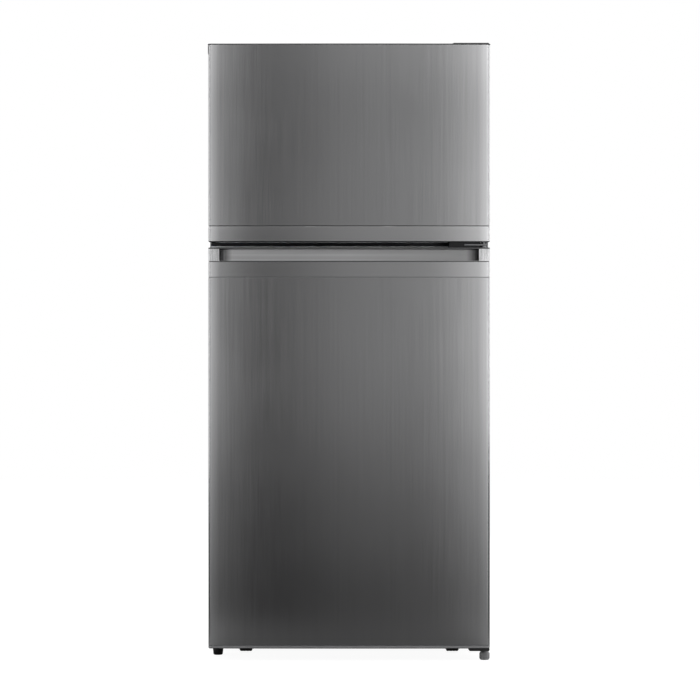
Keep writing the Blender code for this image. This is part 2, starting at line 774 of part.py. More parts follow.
def door_insulation(name, low, high, dike):
    foam = door_block(name, low, high, TRIM_WALL + GAP, material="foam")
    back = DIKE_BACK - LINER_WALL - GAP
    join(foam, dike_ring(name + "_ring", *dike, LINER_WALL + GAP, DOOR_BACK - LINER_PLATE - 0.010, back))
    return foam


def boss_corners(low, high, grow=0.0):
    first = (0.3480 - grow, HINGE_Y - 0.012 - grow, low - grow)
    return first, (0.3755 + grow, HINGE_Y + 0.0125 + grow, high + grow)


def door_gasket(name, low, high):
    outer = rectangle(GASKET_HALF, low, high)
    inner = rectangle(GASKET_HALF - GASKET_WIDTH, low + GASKET_WIDTH, high - GASKET_WIDTH)
    return prism(name, [outer, inner], "Y", DOOR_BACK + GAP, CABINET_FRONT - GAP, "gasket_rubber")


def door_bin(name, low, high):
    half = DIKE_HALF - DIKE_WIDTH - GAP
    front = DOOR_BACK + GAP
    tray = box(name, (-half, front, low), (half, BIN_BACK, high), "clear_plastic")
    inner = (half - BIN_WALL, BIN_BACK - BIN_WALL, high + PAST)
    cut_box(tray, (BIN_WALL - half, front + BIN_WALL, low + BIN_WALL), inner)
    return tray


def freezer_door_top_cap():
    name = "freezer_door_top_cap"
    cap = door_block(name, FREEZER_SKIN_TOP, FREEZER_DOOR_TOP, half=CAP_HALF, material="black_plastic")
    join(cap, door_block("cap_plug", 1.6480, FREEZER_SKIN_TOP + OVERLAP, TRIM_WALL + GAP))
    join_box(cap, *boss_corners(1.6400, 1.6500))
    side = DOOR_HALF + GAP
    join_box(cap, (-CAP_HALF, -0.372, 1.6340), (-side, -0.340, FREEZER_SKIN_TOP + OVERLAP))
    pin_bore(cap, 1.6300, 1.6700)
    return cap


def freezer_door_grip_trim():
    top = GRIP_TOP - GAP
    trim = door_block("freezer_door_grip_trim", FREEZER_DOOR_LOW, top, material="trim_steel")
    cut(trim, door_block("grip_hollow", 1.1515, GRIP_TOP + PAST, TRIM_WALL, back=DOOR_BACK + PAST))
    cut_box(trim, (-0.300, -0.374, FREEZER_DOOR_LOW - PAST), (0.300, -0.350, 1.1465))
    pin_bore(trim, 1.1200, 1.1480)
    return trim


def freezer_door():
    dike = (1.172, 1.580)
    foam = door_insulation("freezer_door_insulation", 1.1518, 1.6477, dike)
    cut_box(foam, *boss_corners(1.6400, 1.6600, GAP))
    pieces = [
        door_skin("freezer_door_skin", GRIP_TOP, FREEZER_SKIN_TOP - GAP),
        freezer_door_top_cap(),
        freezer_door_grip_trim(),
        door_liner("freezer_door_liner", (FREEZER_DOOR_LOW + 0.001, FREEZER_DOOR_TOP - 0.0035), dike),
        door_gasket("freezer_door_gasket", 1.131, 1.631),
        door_bin("freezer_bin_lower", 1.200, 1.290),
        door_bin("freezer_bin_upper", 1.400, 1.485),
        foam,
    ]
    hang(pieces, pivot("freezer_door_axis", (HINGE_X, HINGE_Y, FREEZER_DOOR_LOW)))


def handle_pocket():
    """The side outline of the finger pocket: a scoop that also runs down behind the front lip."""
    front = FRONT_Y - PAST
    lip_back = FRONT_Y + 0.010
    back = FRONT_Y + 0.028
    outline = [(front, HANDLE_LIP), (lip_back, HANDLE_LIP)]
    outline += arc((FRONT_Y + 0.019, 1.067), 0.009, 180, 360, 6)
    outline += arc((back - 0.012, POCKET_TOP - 0.012), 0.012, 0, 90, 4)
    outline.append((front, POCKET_TOP))
    return outline


def fridge_door_handle_trim():
    trim = door_block("fridge_door_handle_trim", HANDLE_LOW, FRIDGE_DOOR_TOP, material="trim_steel")
    cut(trim, door_block("trim_hollow", HANDLE_LOW - PAST, 1.0555, TRIM_WALL, back=DOOR_BACK + PAST))
    wall = FRONT_Y + 0.0305
    side = DOOR_HALF - TRIM_WALL
    cut_box(trim, (-side, wall, HANDLE_LOW - PAST), (side, DOOR_BACK + PAST, FRIDGE_DOOR_TOP - 0.0025))
    cut(trim, prism("pocket", [handle_pocket()], "X", -0.349, 0.349))
    boss_high = (side + OVERLAP / 2, HINGE_Y + 0.0125, FRIDGE_DOOR_TOP - 0.0015)
    join_box(trim, (0.3495, wall - 0.005, 1.0850), boss_high)
    pin_bore(trim, 1.0920, 1.1300)
    return trim


def fridge_door_insulation(dike):
    foam = door_insulation("fridge_door_insulation", 0.0503, 1.0550, dike)
    side = DOOR_HALF - TRIM_WALL - GAP
    back = DOOR_BACK - LINER_PLATE - GAP
    low = (-side, FRONT_Y + 0.0305 + GAP, 1.0450)
    join_box(foam, low, (side, back, FRIDGE_DOOR_TOP - 0.0025 - GAP))
    boss_high = (side + PAST, HINGE_Y + 0.0125 + GAP, FRIDGE_DOOR_TOP)
    cut_box(foam, (0.3495 - GAP, FRONT_Y, 1.0850 - GAP), boss_high)
    cut_box(foam, *boss_corners(0.0300, 0.0600, GAP))
    return foam


def fridge_door_bottom_cap():
    cap = door_block("fridge_door_bottom_cap", FRIDGE_DOOR_LOW, BOTTOM_CAP_TOP, material="grey_plastic")
    join(cap, door_block("cap_plug", BOTTOM_CAP_TOP - OVERLAP, 0.0500, TRIM_WALL + GAP))
    join_box(cap, *boss_corners(0.0480, 0.0600))
    pin_bore(cap, 0.0200, 0.0560)
    return cap


def fridge_door():
    dike = (0.125, 1.065)
    pieces = [
        door_skin("fridge_door_skin", BOTTOM_CAP_TOP + GAP, HANDLE_LOW - GAP),
        fridge_door_handle_trim(),
        fridge_door_bottom_cap(),
        door_liner("fridge_door_liner", (FRIDGE_DOOR_LOW + 0.001, FRIDGE_DOOR_TOP - 0.001), dike),
        door_gasket("fridge_door_gasket", 0.070, 1.109),
        door_bin("fridge_bin_bottom", 0.160, 0.275),
        door_bin("fridge_bin_middle", 0.500, 0.590),
        door_bin("fridge_bin_top", 0.800, 0.885),
        fridge_door_insulation(dike),
    ]
    hang(pieces, pivot("fridge_door_axis", (HINGE_X, HINGE_Y, FRIDGE_DOOR_LOW)))


def build_cabinet():
    cabinet_shell()
    rear_panel()
    base_deck()
    cabinet_insulation()
    freezer_liner()
    fridge_liner()
    front_rail("mullion_rail", *mullion_span(0.0))
    front_rail("front_base_rail", CABINET_LOW, FRIDGE_LOW - LOWER_LIP - GAP)
    compressor_tray()
    compressor()
    drain_pan()
    machine_cover()
    power_inlet()
    evaporator()
    evaporator_cover()
    fan_motor()
    air_duct()
    control_housing()
    lamp_lens()


def build_storage():
    freezer_shelf()
    framed_shelf("upper_shelf_glass", "upper_shelf_frame", RAIL_TOPS["upper"], SHELF_BACK)
    framed_shelf("lower_shelf_glass", "lower_shelf_frame", RAIL_TOPS["lower"], SHELF_BACK)
    framed_shelf("crisper_cover_glass", "crisper_cover_frame", RAIL_TOPS["crisper"], 0.146)
    crisper("left_crisper", -0.300, -0.004, "left_crisper_slide")
    crisper("right_crisper", 0.004, 0.300, "right_crisper_slide")


def build_small_movers():
    evaporator_fan()
    dial("fridge_dial", (-0.065, -0.125 - GAP, 1.0725), "fridge_dial_axis")
    dial("freezer_dial", (0.190, 0.218 - GAP, 1.555), "freezer_dial_axis")
    barrel = [(0.011, FOOT_TOP), (0.014, 0.018), (0.014, 0.005), (0.011, 0.0), (0, 0.0)]
    taper = [(0.0145, FOOT_TOP), (0.0145, 0.012), (0.0118, 0.0), (0, 0.0)]
    foot("right_foot", RIGHT_FOOT, foot_bore()[::-1] + barrel, "right_foot_slide", "grey_plastic")
    foot("left_foot", LEFT_FOOT, foot_bore()[::-1] + taper, "left_foot_slide", "black_plastic")
    for side_name, side in (("left", -1), ("right", 1)):
        roller(f"front_{side_name}_roller", side, FRONT_ROLLER, 0.0175, 0.0166, f"front_{side_name}_axle")
        roller(f"rear_{side_name}_roller", side, REAR_ROLLER, 0.0105, 0.018, f"rear_{side_name}_axle")


build_cabinet()
build_storage()
top_hinge()
top_hinge_cover()
middle_hinge()
middle_hinge_cover()
bottom_hinge()
left_foot_bracket()
build_small_movers()
freezer_door()
fridge_door()
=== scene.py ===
import json
import math

import bmesh
import bpy
from mathutils import Matrix, Vector


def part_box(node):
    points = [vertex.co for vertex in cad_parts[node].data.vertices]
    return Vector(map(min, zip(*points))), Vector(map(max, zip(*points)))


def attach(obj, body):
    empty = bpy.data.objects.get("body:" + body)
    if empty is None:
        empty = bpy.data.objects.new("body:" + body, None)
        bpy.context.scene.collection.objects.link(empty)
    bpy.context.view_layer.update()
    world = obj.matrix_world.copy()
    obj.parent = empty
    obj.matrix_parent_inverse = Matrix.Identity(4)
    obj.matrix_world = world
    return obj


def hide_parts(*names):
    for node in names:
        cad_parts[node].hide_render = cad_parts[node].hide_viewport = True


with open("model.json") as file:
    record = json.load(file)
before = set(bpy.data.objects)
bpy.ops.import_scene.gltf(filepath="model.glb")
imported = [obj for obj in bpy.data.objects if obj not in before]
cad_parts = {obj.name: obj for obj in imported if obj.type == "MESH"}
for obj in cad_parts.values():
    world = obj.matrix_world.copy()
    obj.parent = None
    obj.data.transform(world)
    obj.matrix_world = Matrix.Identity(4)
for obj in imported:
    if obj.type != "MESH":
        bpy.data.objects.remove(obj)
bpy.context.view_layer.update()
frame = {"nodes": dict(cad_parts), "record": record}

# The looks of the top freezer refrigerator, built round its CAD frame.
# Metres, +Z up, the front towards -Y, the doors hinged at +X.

UP, DOWN, FRONT, BACK = (0, 0, 1), (0, 0, -1), (0, -1, 0), (0, 1, 0)
SIDES = (-1, 1)
QUARTER = (0, math.pi / 6, math.pi / 3, math.pi / 2)

# Camera and stage
CAMERA_PLACE = (0.0024, -6.384, 0.8367)
CAMERA_LENS = 114.9
FLOOR_FRONT = -1.25
PANEL_Y = -1.75
# Brightness of the graded front softbox: across it, as (x, strength), and up it, as (z, share).
PANEL_ACROSS = (
    (-0.95, 1.6), (-0.64, 1.4), (-0.55, 0.98), (-0.485, 0.28), (-0.43, 0.05), (-0.34, 0.04), (-0.22, 0.18),
    (0.0, 0.36), (0.22, 0.37), (0.33, 0.31), (0.42, 0.56), (0.53, 1.25), (0.9, 2.6))
PANEL_UP = (
    (-0.45, 0.8), (-0.14, 0.52), (-0.02, 0.27), (0.17, 0.38), (0.34, 0.51), (0.5, 0.68), (0.8, 0.97),
    (1.0, 1.0), (1.5, 1.0), (1.66, 0.94), (1.84, 1.27), (2.2, 1.2))
# Brightness of the floor in reflections, as (x, strength).
FLOOR_ACROSS = (
    (-1.6, 0.1), (-0.8, 0.24), (-0.5, 0.42), (-0.38, 0.2), (-0.26, 0.14), (0.26, 0.15), (0.38, 0.22),
    (0.5, 0.46), (0.8, 0.26), (1.6, 0.1))
# Name, place, target, width, height and power.
SOFTBOXES = (
    ("top_light", (0.0, -0.6, 3.4), (0, 0, 0.8), 2.4, 2.4, 45),
    ("left_light", (-3.0, -0.2, 1.5), (0, 0, 0.9), 1.2, 2.4, 27),
    ("right_light", (3.0, -0.4, 1.6), (0, 0, 0.9), 1.6, 2.4, 42),
    ("back_light", (0.8, 3.2, 1.8), (0, 0, 0.9), 2.4, 2.2, 45),
    ("fridge_lamp", (0.0, -0.02, 1.04), (0, 0.02, 0.2), 0.3, 0.12, 1.2),
)

# Doors, as the CAD has them
DOORS = ("freezer_door", "fridge_door")
DOOR_HALF = 0.3785
DOOR_FRONT = -0.384
CROWN = 0.003
CORNER_RADIUS = 0.008
DOOR_SKIN = 0.001
SKIN_INSET = 0.0022
FOAM_INSET = 0.0023
SEAL_GAP = 0.0003
SEAM = 0.0009
PLATE_FRONT = -0.3243
DIKE_HALF = 0.31
DIKES = {"freezer_door": (1.172, 1.58), "fridge_door": (0.125, 1.065)}
LIP_TOP = 1.0763
POCKET_TOP = 1.1088
POCKET_HALF = 0.349
POCKET_SWEEP = 0.018
HINGE = Vector((0.362, -0.357, 0.0))
PIN_BORE = 0.0045

# Inside and rear, as the CAD has them
LINER_HALF = 0.3225
LINER_RADIUS = 0.016
LINER_FLANGE = 0.0093
FAN_HEIGHT = 1.49
REAR_FACE = 0.3758
COVER_FACE = 0.3745
OUTLETS = (0.47, 0.64, 0.7, 0.88, 0.94)


# Materials


class Nodes:
    """A node tree, with short calls for what is used here."""

    def __init__(self, tree):
        self.tree = tree

    def put(self, socket, value):
        """Sets a socket to a value, or links another node's output to it."""
        if isinstance(value, bpy.types.NodeSocket):
            self.tree.links.new(value, socket)
        else:
            socket.default_value = (*value, 1.0) if socket.type == "RGBA" else value

    def add(self, kind, inputs, result=0, **settings):
        """Adds a node with its settings and inputs, and gives one of its outputs."""
        made = self.tree.nodes.new("ShaderNode" + kind)
        for name, value in settings.items():
            setattr(made, name, value)
        for socket, value in inputs.items():
            self.put(made.inputs[socket], value)
        return made.outputs[result]

    def times(self, first, second):
        return self.add("Math", {0: first, 1: second}, operation="MULTIPLY")

    def plus(self, first, second):
        return self.add("Math", {0: first, 1: second}, operation="ADD")

    def place(self):
        """The position in the row frame."""
        return self.add("TexCoord", {}, "Object")

    def along(self, axis):
        """The position along one axis."""
        return self.add("SeparateXYZ", {"Vector": self.place()}, axis)

    def between(self, value, low, high, first=0.0, last=1.0):
        """Maps low..high of a value to first..last, clamped."""
        inputs = {"Value": value, "From Min": low, "From Max": high, "To Min": first, "To Max": last}
        return self.add("MapRange", inputs)

    def graded(self, axis, stops):
        """A brightness that follows the stops along one axis."""
        low, high = stops[0][0], stops[-1][0]
        most = max(level for _, level in stops)
        result = self.add("FloatCurve", {"Value": self.between(self.along(axis), low, high)})
        mapping = result.node.mapping
        points = mapping.curves[0].points
        points[0].location = (0.0, stops[0][1] / most)
        points[1].location = (1.0, stops[-1][1] / most)
        for spot, level in stops[1:-1]:
            points.new((spot - low) / (high - low), level / most)
        mapping.update()
        return self.times(result, most)

    def seen_by(self, ray, share, hidden, shown):
        """Mixes two shaders, the second for one kind of ray."""
        factor = self.times(self.add("LightPath", {}, ray), share)
        return self.add("MixShader", {0: factor, 1: hidden, 2: shown})


class Finish(Nodes):
    """A material's nodes round its Principled shader."""

    def __init__(self, name, colour, roughness, metallic=0.0, **sockets):
        self.material = bpy.data.materials.new(name)
        self.material.use_nodes = True
        super().__init__(self.material.node_tree)
        self.shader = self.tree.nodes["Principled BSDF"]
        sockets.update(Base_Color=colour, Roughness=roughness, Metallic=metallic)
        for socket, value in sockets.items():
            self.set(socket.replace("_", " "), value)

    def set(self, socket, value):
        self.put(self.shader.inputs[socket], value)

    def noise(self, scale, detail=3.0, stretch=(1, 1, 1)):
        """Noise from 0 to 1 in the row frame. A small stretch value draws it out along that axis."""
        mapped = self.add("Mapping", {"Scale": stretch, "Vector": self.place()})
        return self.add("TexNoise", {"Scale": scale, "Detail": detail, "Vector": mapped})

    def cells(self, scale, result):
        """Cell distance or cell colour, for spangle and pores."""
        return self.add("TexVoronoi", {"Scale": scale, "Vector": self.place()}, result)

    def spread(self, noise, first=0.0, last=1.0):
        """Maps the middle of a noise's range to first..last, clamped."""
        return self.between(noise, 0.3, 0.7, first, last)

    def mixed(self, factor, first, second):
        """A colour between two, each a colour or another node's output."""
        return self.add("Mix", {0: factor, 6: first, 7: second}, 2, data_type="RGBA")

    def toned(self, factor, base, dark, light):
        """The base colour, from dark to light as shares of it."""
        return self.mixed(factor, scaled(base, dark), scaled(base, light))

    def look(self, colour, roughness, height, depth, strength=1.0):
        """Sets the colour, the roughness and the relief, its depth in metres, and gives the material."""
        self.set("Base Color", colour)
        self.set("Roughness", roughness)
        self.set("Normal", self.add("Bump", {"Height": height, "Distance": depth, "Strength": strength}))
        return self.material


def scaled(colour, factor):
    return tuple(min(channel * factor, 1.0) for channel in colour)


def brushed_steel(name, base, grain, roughness, anisotropy, contrast=0.035, relief=0.000003,
                  shaded=(), lines=450):
    """Steel with fine brush lines along X or Z: streaks in its colour, roughness and height.

    Each shaded band of (first, last, share) is painted shade: it darkens the colour outwards, from one
    distance along X to another, to that share of it.
    """
    finish = Finish(name, base, roughness, 1.0, Anisotropic=anisotropy)
    finish.set("Tangent", finish.add("Tangent", {}, direction_type="RADIAL", axis="Z"))
    if grain == "X":
        fine, broad = (finish.noise(scale, 1, (0.001, 0.2, 1)) for scale in (lines, 90))
        finish.set("Anisotropic Rotation", 0.25)
    else:
        fine, broad = finish.noise(900, 4, (1, 1, 0.006)), finish.noise(120, 2, (1, 1, 0.0008))
    tone = finish.toned(finish.between(finish.plus(fine, broad), 0.75, 1.25), base, 1 - contrast,
                        1 + contrast)
    # Painted shade: each band darkens the colour outwards along X.
    for first, last, share in shaded:
        tone = finish.mixed(finish.between(finish.along("X"), first, last), tone, scaled(base, share))
    gloss = finish.plus(finish.spread(fine, -0.5 * contrast, 0.5 * contrast),
                        finish.spread(finish.noise(5), roughness - 0.01, roughness + 0.01))
    return finish.look(tone, gloss, fine, relief)


def painted_sheet(name, base):
    """Stucco textured prepainted sheet, with faint scuffs near the floor."""
    finish = Finish(name, base, 0.42, 0.25, Coat_Weight=0.15, Coat_Roughness=0.3)
    stucco = finish.noise(420, 2)
    tinted = finish.toned(finish.between(finish.noise(3), 0.35, 0.65), base, 0.94, 1.06)
    scuff = finish.times(finish.between(finish.noise(60, 4, (1, 1, 4)), 0.6, 0.72),
                         finish.between(finish.along("Z"), 0.04, 0.3, 0.5, 0.0))
    tone = finish.mixed(scuff, tinted, scaled(base, 1.7))
    return finish.look(tone, finish.spread(stucco, 0.36, 0.5), stucco, 0.0002, 0.6)


def galvanised(name, base):
    """Zinc coated sheet with a faint spangle and handling marks."""
    finish = Finish(name, base, 0.42, 1.0)
    grey = finish.add("RGBToBW", {"Color": finish.cells(160, "Color")})
    marks = finish.noise(25, 4)
    gloss = finish.plus(finish.spread(marks, -0.03, 0.05), finish.between(grey, 0.0, 1.0, 0.38, 0.48))
    return finish.look(finish.toned(finish.between(grey, 0.0, 1.0), base, 0.86, 1.1), gloss, marks, 0.00003,
                       0.3)


def moulded_plastic(name, base, roughness, grain=700, relief=0.00006, **sockets):
    """Moulded plastic: a fine eroded texture, slight flow marks and uneven gloss."""
    finish = Finish(name, base, roughness, **sockets)
    texture, flow = finish.noise(grain), finish.noise(6)
    gloss = finish.plus(finish.spread(texture, -0.04, 0.05),
                        finish.spread(flow, roughness - 0.03, roughness + 0.03))
    return finish.look(finish.toned(finish.spread(flow), base, 0.95, 1.04), gloss, texture, relief, 0.6)


def flaked_paint(name, base):
    """Silver paint on plastic, with flakes that sparkle unevenly and faint moulding lines."""
    finish = Finish(name, base, 0.34, 0.85, Coat_Weight=0.2)
    flakes = finish.noise(480, 2)
    sparkle = finish.plus(finish.spread(flakes), finish.spread(finish.noise(350, 2, (1, 1, 0.05))))
    tone = finish.toned(finish.between(sparkle, 0.5, 1.5), base, 0.72, 1.3)
    return finish.look(tone, finish.spread(flakes, 0.28, 0.42), flakes, 0.00012, 0.5)


def gloss_black(name, base=(0.012, 0.012, 0.013)):
    """Black enamel with a slight orange peel and a film of dust on top."""
    finish = Finish(name, base, 0.28, Coat_Weight=0.4, Coat_Roughness=0.12)
    dust = finish.noise(45, 5)
    tone = finish.mixed(finish.between(dust, 0.52, 0.75, 0.0, 0.3), base, (0.05, 0.047, 0.044))
    return finish.look(tone, finish.between(dust, 0.4, 0.7, 0.28, 0.42), finish.noise(240, 2), 0.00008, 0.5)


def see_through(name, tint, roughness, ior, alpha):
    """Clear moulding or plate, with faint fine scratches in its gloss."""
    finish = Finish(name, tint, roughness, IOR=ior, Transmission_Weight=0.7, Alpha=alpha)
    gloss = finish.between(finish.noise(300, 4, (1, 0.05, 1)), 0.4, 0.8, roughness, roughness + 0.08)
    return finish.look(finish.toned(finish.spread(finish.noise(8)), tint, 0.97, 1.0), gloss,
                       finish.noise(12, 2),
                       0.0003, 0.15)


def patchy(name, base, roughness, patches, limits, tones, gloss, relief, depth, strength=0.5, **sockets):
    """A finish whose colour and gloss follow one noise, over the relief that a function makes."""
    finish = Finish(name, base, roughness, **sockets)
    cloud = finish.noise(*patches)
    tone = finish.mixed(finish.between(cloud, *limits), *tones)
    return finish.look(tone, finish.spread(cloud, *gloss), relief(finish), depth, strength)


WHITE = (0.83, 0.84, 0.84)
FINISHES = {
    "skin_steel": brushed_steel("vertical_brushed_steel", (0.4, 0.4, 0.405), "Z", 0.21, 0.4),
    "trim_steel": brushed_steel("horizontal_brushed_steel", (0.45, 0.45, 0.455), "X", 0.26, 0.5, 0.01, 1e-7),
    "grey_paint": painted_sheet("grey_prepainted_sheet", (0.165, 0.168, 0.172)),
    "zinc_steel": galvanised("zinc_coated_steel", (0.5, 0.505, 0.52)),
    "black_paint": gloss_black("black_enamel"),
    "aluminium": patchy(
        "bare_aluminium", (0.78, 0.79, 0.8), 0.32, (40, 4), (0.4, 0.7),
        ((0.74, 0.75, 0.76), (0.86, 0.87, 0.88)),
        (0.26, 0.46), lambda finish: finish.noise(500, 3, (1, 1, 0.02)), 0.00003, metallic=1.0),
    "white_plastic": moulded_plastic("white_liner_plastic", WHITE, 0.36, Subsurface_Weight=0.05),
    "grey_plastic": moulded_plastic("grey_trim_plastic", (0.42, 0.43, 0.44), 0.42),
    "black_plastic": moulded_plastic("black_plastic", (0.006, 0.006, 0.0065), 0.42, 500, 0.0001,
                                     Specular_IOR_Level=0.25),
    "clear_plastic": see_through("clear_bin_plastic", (0.95, 0.97, 0.98), 0.06, 1.49, 0.4),
    "glass": see_through("shelf_glass", (0.9, 0.97, 0.94), 0.02, 1.5, 0.35),
    "gasket_rubber": patchy(
        "gasket_rubber", (0.33, 0.335, 0.34), 0.62, (30, 4), (0.35, 0.7),
        ((0.3, 0.305, 0.31), (0.38, 0.385, 0.39)),
        (0.52, 0.7), lambda finish: finish.noise(900, 2), 0.00005, Sheen_Weight=0.1),
    "foam": patchy(
        "rigid_foam", (0.84, 0.76, 0.52), 0.9, (12, 4), (0.3, 0.7), ((0.78, 0.68, 0.42), (0.88, 0.81, 0.58)),
        (0.82, 0.95), lambda finish: finish.cells(350, "Distance"), 0.0008, 0.8),
}
# Pocket steel with painted shade: darker towards the right of the pocket and darkest at both ends, where shade
# falls in the recess.
POCKET_STEEL_PAINTED_SHADE = brushed_steel("pocket_steel_painted_shade", (0.62, 0.62, 0.625), "X", 0.42, 0.3, 0.09, 0.000002,
                             ((0.0, 0.3, 0.62), (0.316, 0.342, 0.1), (-0.316, -0.34, 0.09)), 260)
# Painted shadow: near-black with no specular, put on the grip trim's underside and grip, which lie in shade.
SHADOW_BLACK = moulded_plastic("painted_shadow_black", (0.004, 0.004, 0.004), 0.85, 500, 0.0001,
                               Specular_IOR_Level=0.0)
CAP_GREY = moulded_plastic("dark_grey_cap_plastic", (0.21, 0.21, 0.215), 0.4)
# Foot plastic darker than the grey trim plastic: its grey with painted shade, for the shade that falls on the
# foot.
FOOT_GREY_PAINTED_SHADE = moulded_plastic("foot_grey_painted_shade", (0.23, 0.23, 0.235), 0.38)
# Dark grey plastic: the top hinge cover's own colour, and painted shade on the handle trim's top edge and lip
# groove and on the bottom cap's lowest strip.
DARK_PLASTIC_AND_PAINTED_SHADE = moulded_plastic("dark_plastic_and_painted_shade", (0.045, 0.045, 0.046), 0.4)
HINGE_STEEL = galvanised("dull_hinge_steel", (0.2, 0.2, 0.205))
SPECKLED = flaked_paint("silver_end_block", (0.5, 0.5, 0.505))
SLOTS = {part["node"]: part["material_slot"] for part in frame["record"]["subparts"]}


# Shapes


def to_object(name, data):
    shape = bpy.data.objects.new(name, data)
    bpy.context.scene.collection.objects.link(shape)
    return shape


def smoothed(shape, angle=35):
    """Shades a shape smooth but for its sharp edges."""
    shape.data.shade_smooth()
    shape.data.set_sharp_from_angle(angle=math.radians(angle))
    return shape


def solid(name, made, angle=35):
    """Makes an object of a bmesh, shaded smooth but for its sharp edges."""
    bmesh.ops.recalc_face_normals(made, faces=made.faces)
    mesh = bpy.data.meshes.new(name)
    made.to_mesh(mesh)
    made.free()
    return smoothed(to_object(name, mesh), angle)


def dressed(shape, slot, body="cabinet", node=None, finish=None):
    """Gives a shape its finish, its slot and its body, and hides the CAD node that it stands for."""
    shape.data.materials.clear()
    shape.data.materials.append(finish or FINISHES[slot])
    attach(shape, body)
    if node:
        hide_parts(node)
    return shape


def piece(name, made, slot, body="cabinet", node=None, angle=35, finish=None):
    return dressed(solid(name, made, angle), slot, body, node, finish)


def round_edges(shape, width, segments=2, angle=30):
    """Rounds the sharp edges, as pressing and moulding leave them."""
    bevel = shape.modifiers.new("Edges", "BEVEL")
    bevel.width = width
    bevel.segments = segments
    bevel.limit_method = "ANGLE"
    bevel.angle_limit = math.radians(angle)
    bevel.harden_normals = True
    return shape


def thickened(shape, thickness):
    """Gives a surface the thickness of its sheet, on its back."""
    sheet = shape.modifiers.new("Sheet", "SOLIDIFY")
    sheet.thickness = thickness
    sheet.offset = -1.0
    return shape


def spaced(first, last, count):
    """Evenly spaced values, from the first to the last."""
    return [first + (last - first) * number / (count - 1) for number in range(count)]


def arc(centre, radius, start, end, steps):
    """Points on an arc, with its angles in degrees."""
    angles = [math.radians(angle) for angle in spaced(start, end, steps + 1)]
    return [(centre[0] + radius * math.cos(angle), centre[1] + radius * math.sin(angle)) for angle in angles]


def rounded_rectangle(low, high, radius, steps=6):
    left, right, bottom, top = low[0] + radius, high[0] - radius, low[1] + radius, high[1] - radius
    points = []
    for quarter, centre in enumerate(((right, top), (left, top), (left, bottom), (right, bottom))):
        points += arc(centre, radius, 90 * quarter, 90 * quarter + 90, steps)
    return points


def in_space(points, axis, offset):
    """Puts flat points in the plane across an axis: (y, z) for X, (x, z) for Y and (x, y) for Z."""
    place = "XYZ".index(axis)
    return [Vector((*point[:place], offset, *point[place:])) for point in points]


def loft(made, rings, ends="capped"):
    """Skins a row of rings with the same number of points. Its ends are capped, open, or joined in a loop."""
    loops = [[made.verts.new(point) for point in ring] for ring in rings]
    pairs = list(zip(loops, loops[1:]))
    if ends == "looped":
        pairs.append((loops[-1], loops[0]))
    for first, second in pairs:
        for index in range(len(first)):
            following = (index + 1) % len(first)
            made.faces.new((first[index], first[following], second[following], second[index]))
    if ends == "capped":
        made.faces.new(loops[0][::-1])
        made.faces.new(loops[-1])
    return made


def extruded(points, axis, low, high, made=None):
    """A flat outline drawn out along an axis."""
    return loft(made or bmesh.new(), [in_space(points, axis, low), in_space(points, axis, high)])


def block(made, low, high, radius, segments=2):
    """Adds a box with rounded edges."""
    low, high = Vector(low), Vector(high)
    corners = bmesh.ops.create_cube(made, size=1.0)["verts"]
    bmesh.ops.scale(made, vec=high - low, verts=corners)
    bmesh.ops.translate(made, vec=(high + low) / 2, verts=corners)
    if radius:
        fresh = set(corners)
        edges = [edge for edge in made.edges if edge.verts[0] in fresh]
        bmesh.ops.bevel(made, geom=edges, offset=radius, segments=segments, profile=0.5, affect="EDGES")
    return made


def blocks(*boxes):
    """A mesh of boxes, each with its low and high corners, its edges' radius and their steps."""
    made = bmesh.new()
    for box in boxes:
        block(made, *box)
    return made


def turned(profile, centre, axis, steps=32, flutes=0, depth=0.0, beyond=0.0, made=None):
    """A profile of (radius, height) points turned about the axis through the centre, closed where it meets it.

    Flutes of the given depth run along it wherever its radius is beyond a value.
    """
    turn = Vector((0, 0, 1)).rotation_difference(Vector(axis)).to_matrix()
    rings = []
    for radius, height in profile:
        ring = []
        for step in range(steps):
            angle = 2 * math.pi * step / steps
            ripple = depth * (1 - math.cos(flutes * angle)) / 2 if radius > beyond else 0.0
            reach = max(radius - ripple, 0.00001)
            spot = Vector((reach * math.cos(angle), reach * math.sin(angle), height))
            ring.append(Vector(centre) + turn @ spot)
        rings.append(ring)
    closed = profile[0] == profile[-1]
    return loft(made or bmesh.new(), rings[:-1] if closed else rings, "looped" if closed else "capped")


def tubes(name, paths, radius, slot, node=None, sides=3, loop=False):
    """Round wires or pipes along paths of points, as one curve."""
    curve = bpy.data.curves.new(name, "CURVE")
    curve.dimensions = "3D"
    curve.bevel_depth = radius
    curve.bevel_resolution = sides
    curve.use_fill_caps = True
    for path in paths:
        spline = curve.splines.new("POLY")
        spline.points.add(len(path) - 1)
        for point, spot in zip(spline.points, path):
            point.co = (*spot, 1.0)
        spline.use_cyclic_u = loop
        spline.use_smooth = True
    dressed(to_object(name, curve), slot, "cabinet", node)


def combine(target, tool, operation):
    modifier = target.modifiers.new("Boolean", "BOOLEAN")
    modifier.operation = operation
    modifier.object = tool
    modifier.solver = "EXACT"
    graph = bpy.context.evaluated_depsgraph_get()
    mesh = bpy.data.meshes.new_from_object(target.evaluated_get(graph))
    target.modifiers.clear()
    target.data = mesh
    bpy.data.objects.remove(tool, do_unlink=True)


def cut(target, *tools):
    """Cuts the tools out of the target and removes them."""
    for tool in tools:
        combine(target, tool, "DIFFERENCE")


def join(target, *tools):
    for tool in tools:
        combine(target, tool, "UNION")


def box_tool(low, high):
    return solid("tool", blocks((low, high, 0)))


def rod_tool(centre, radius, length):
    return solid("tool", turned([(radius, -length / 2), (radius, length / 2)], centre, UP))


def pin_bore(height, length):
    """The hole that a door turns on."""
    return rod_tool((HINGE.x, HINGE.y, height), PIN_BORE, length)


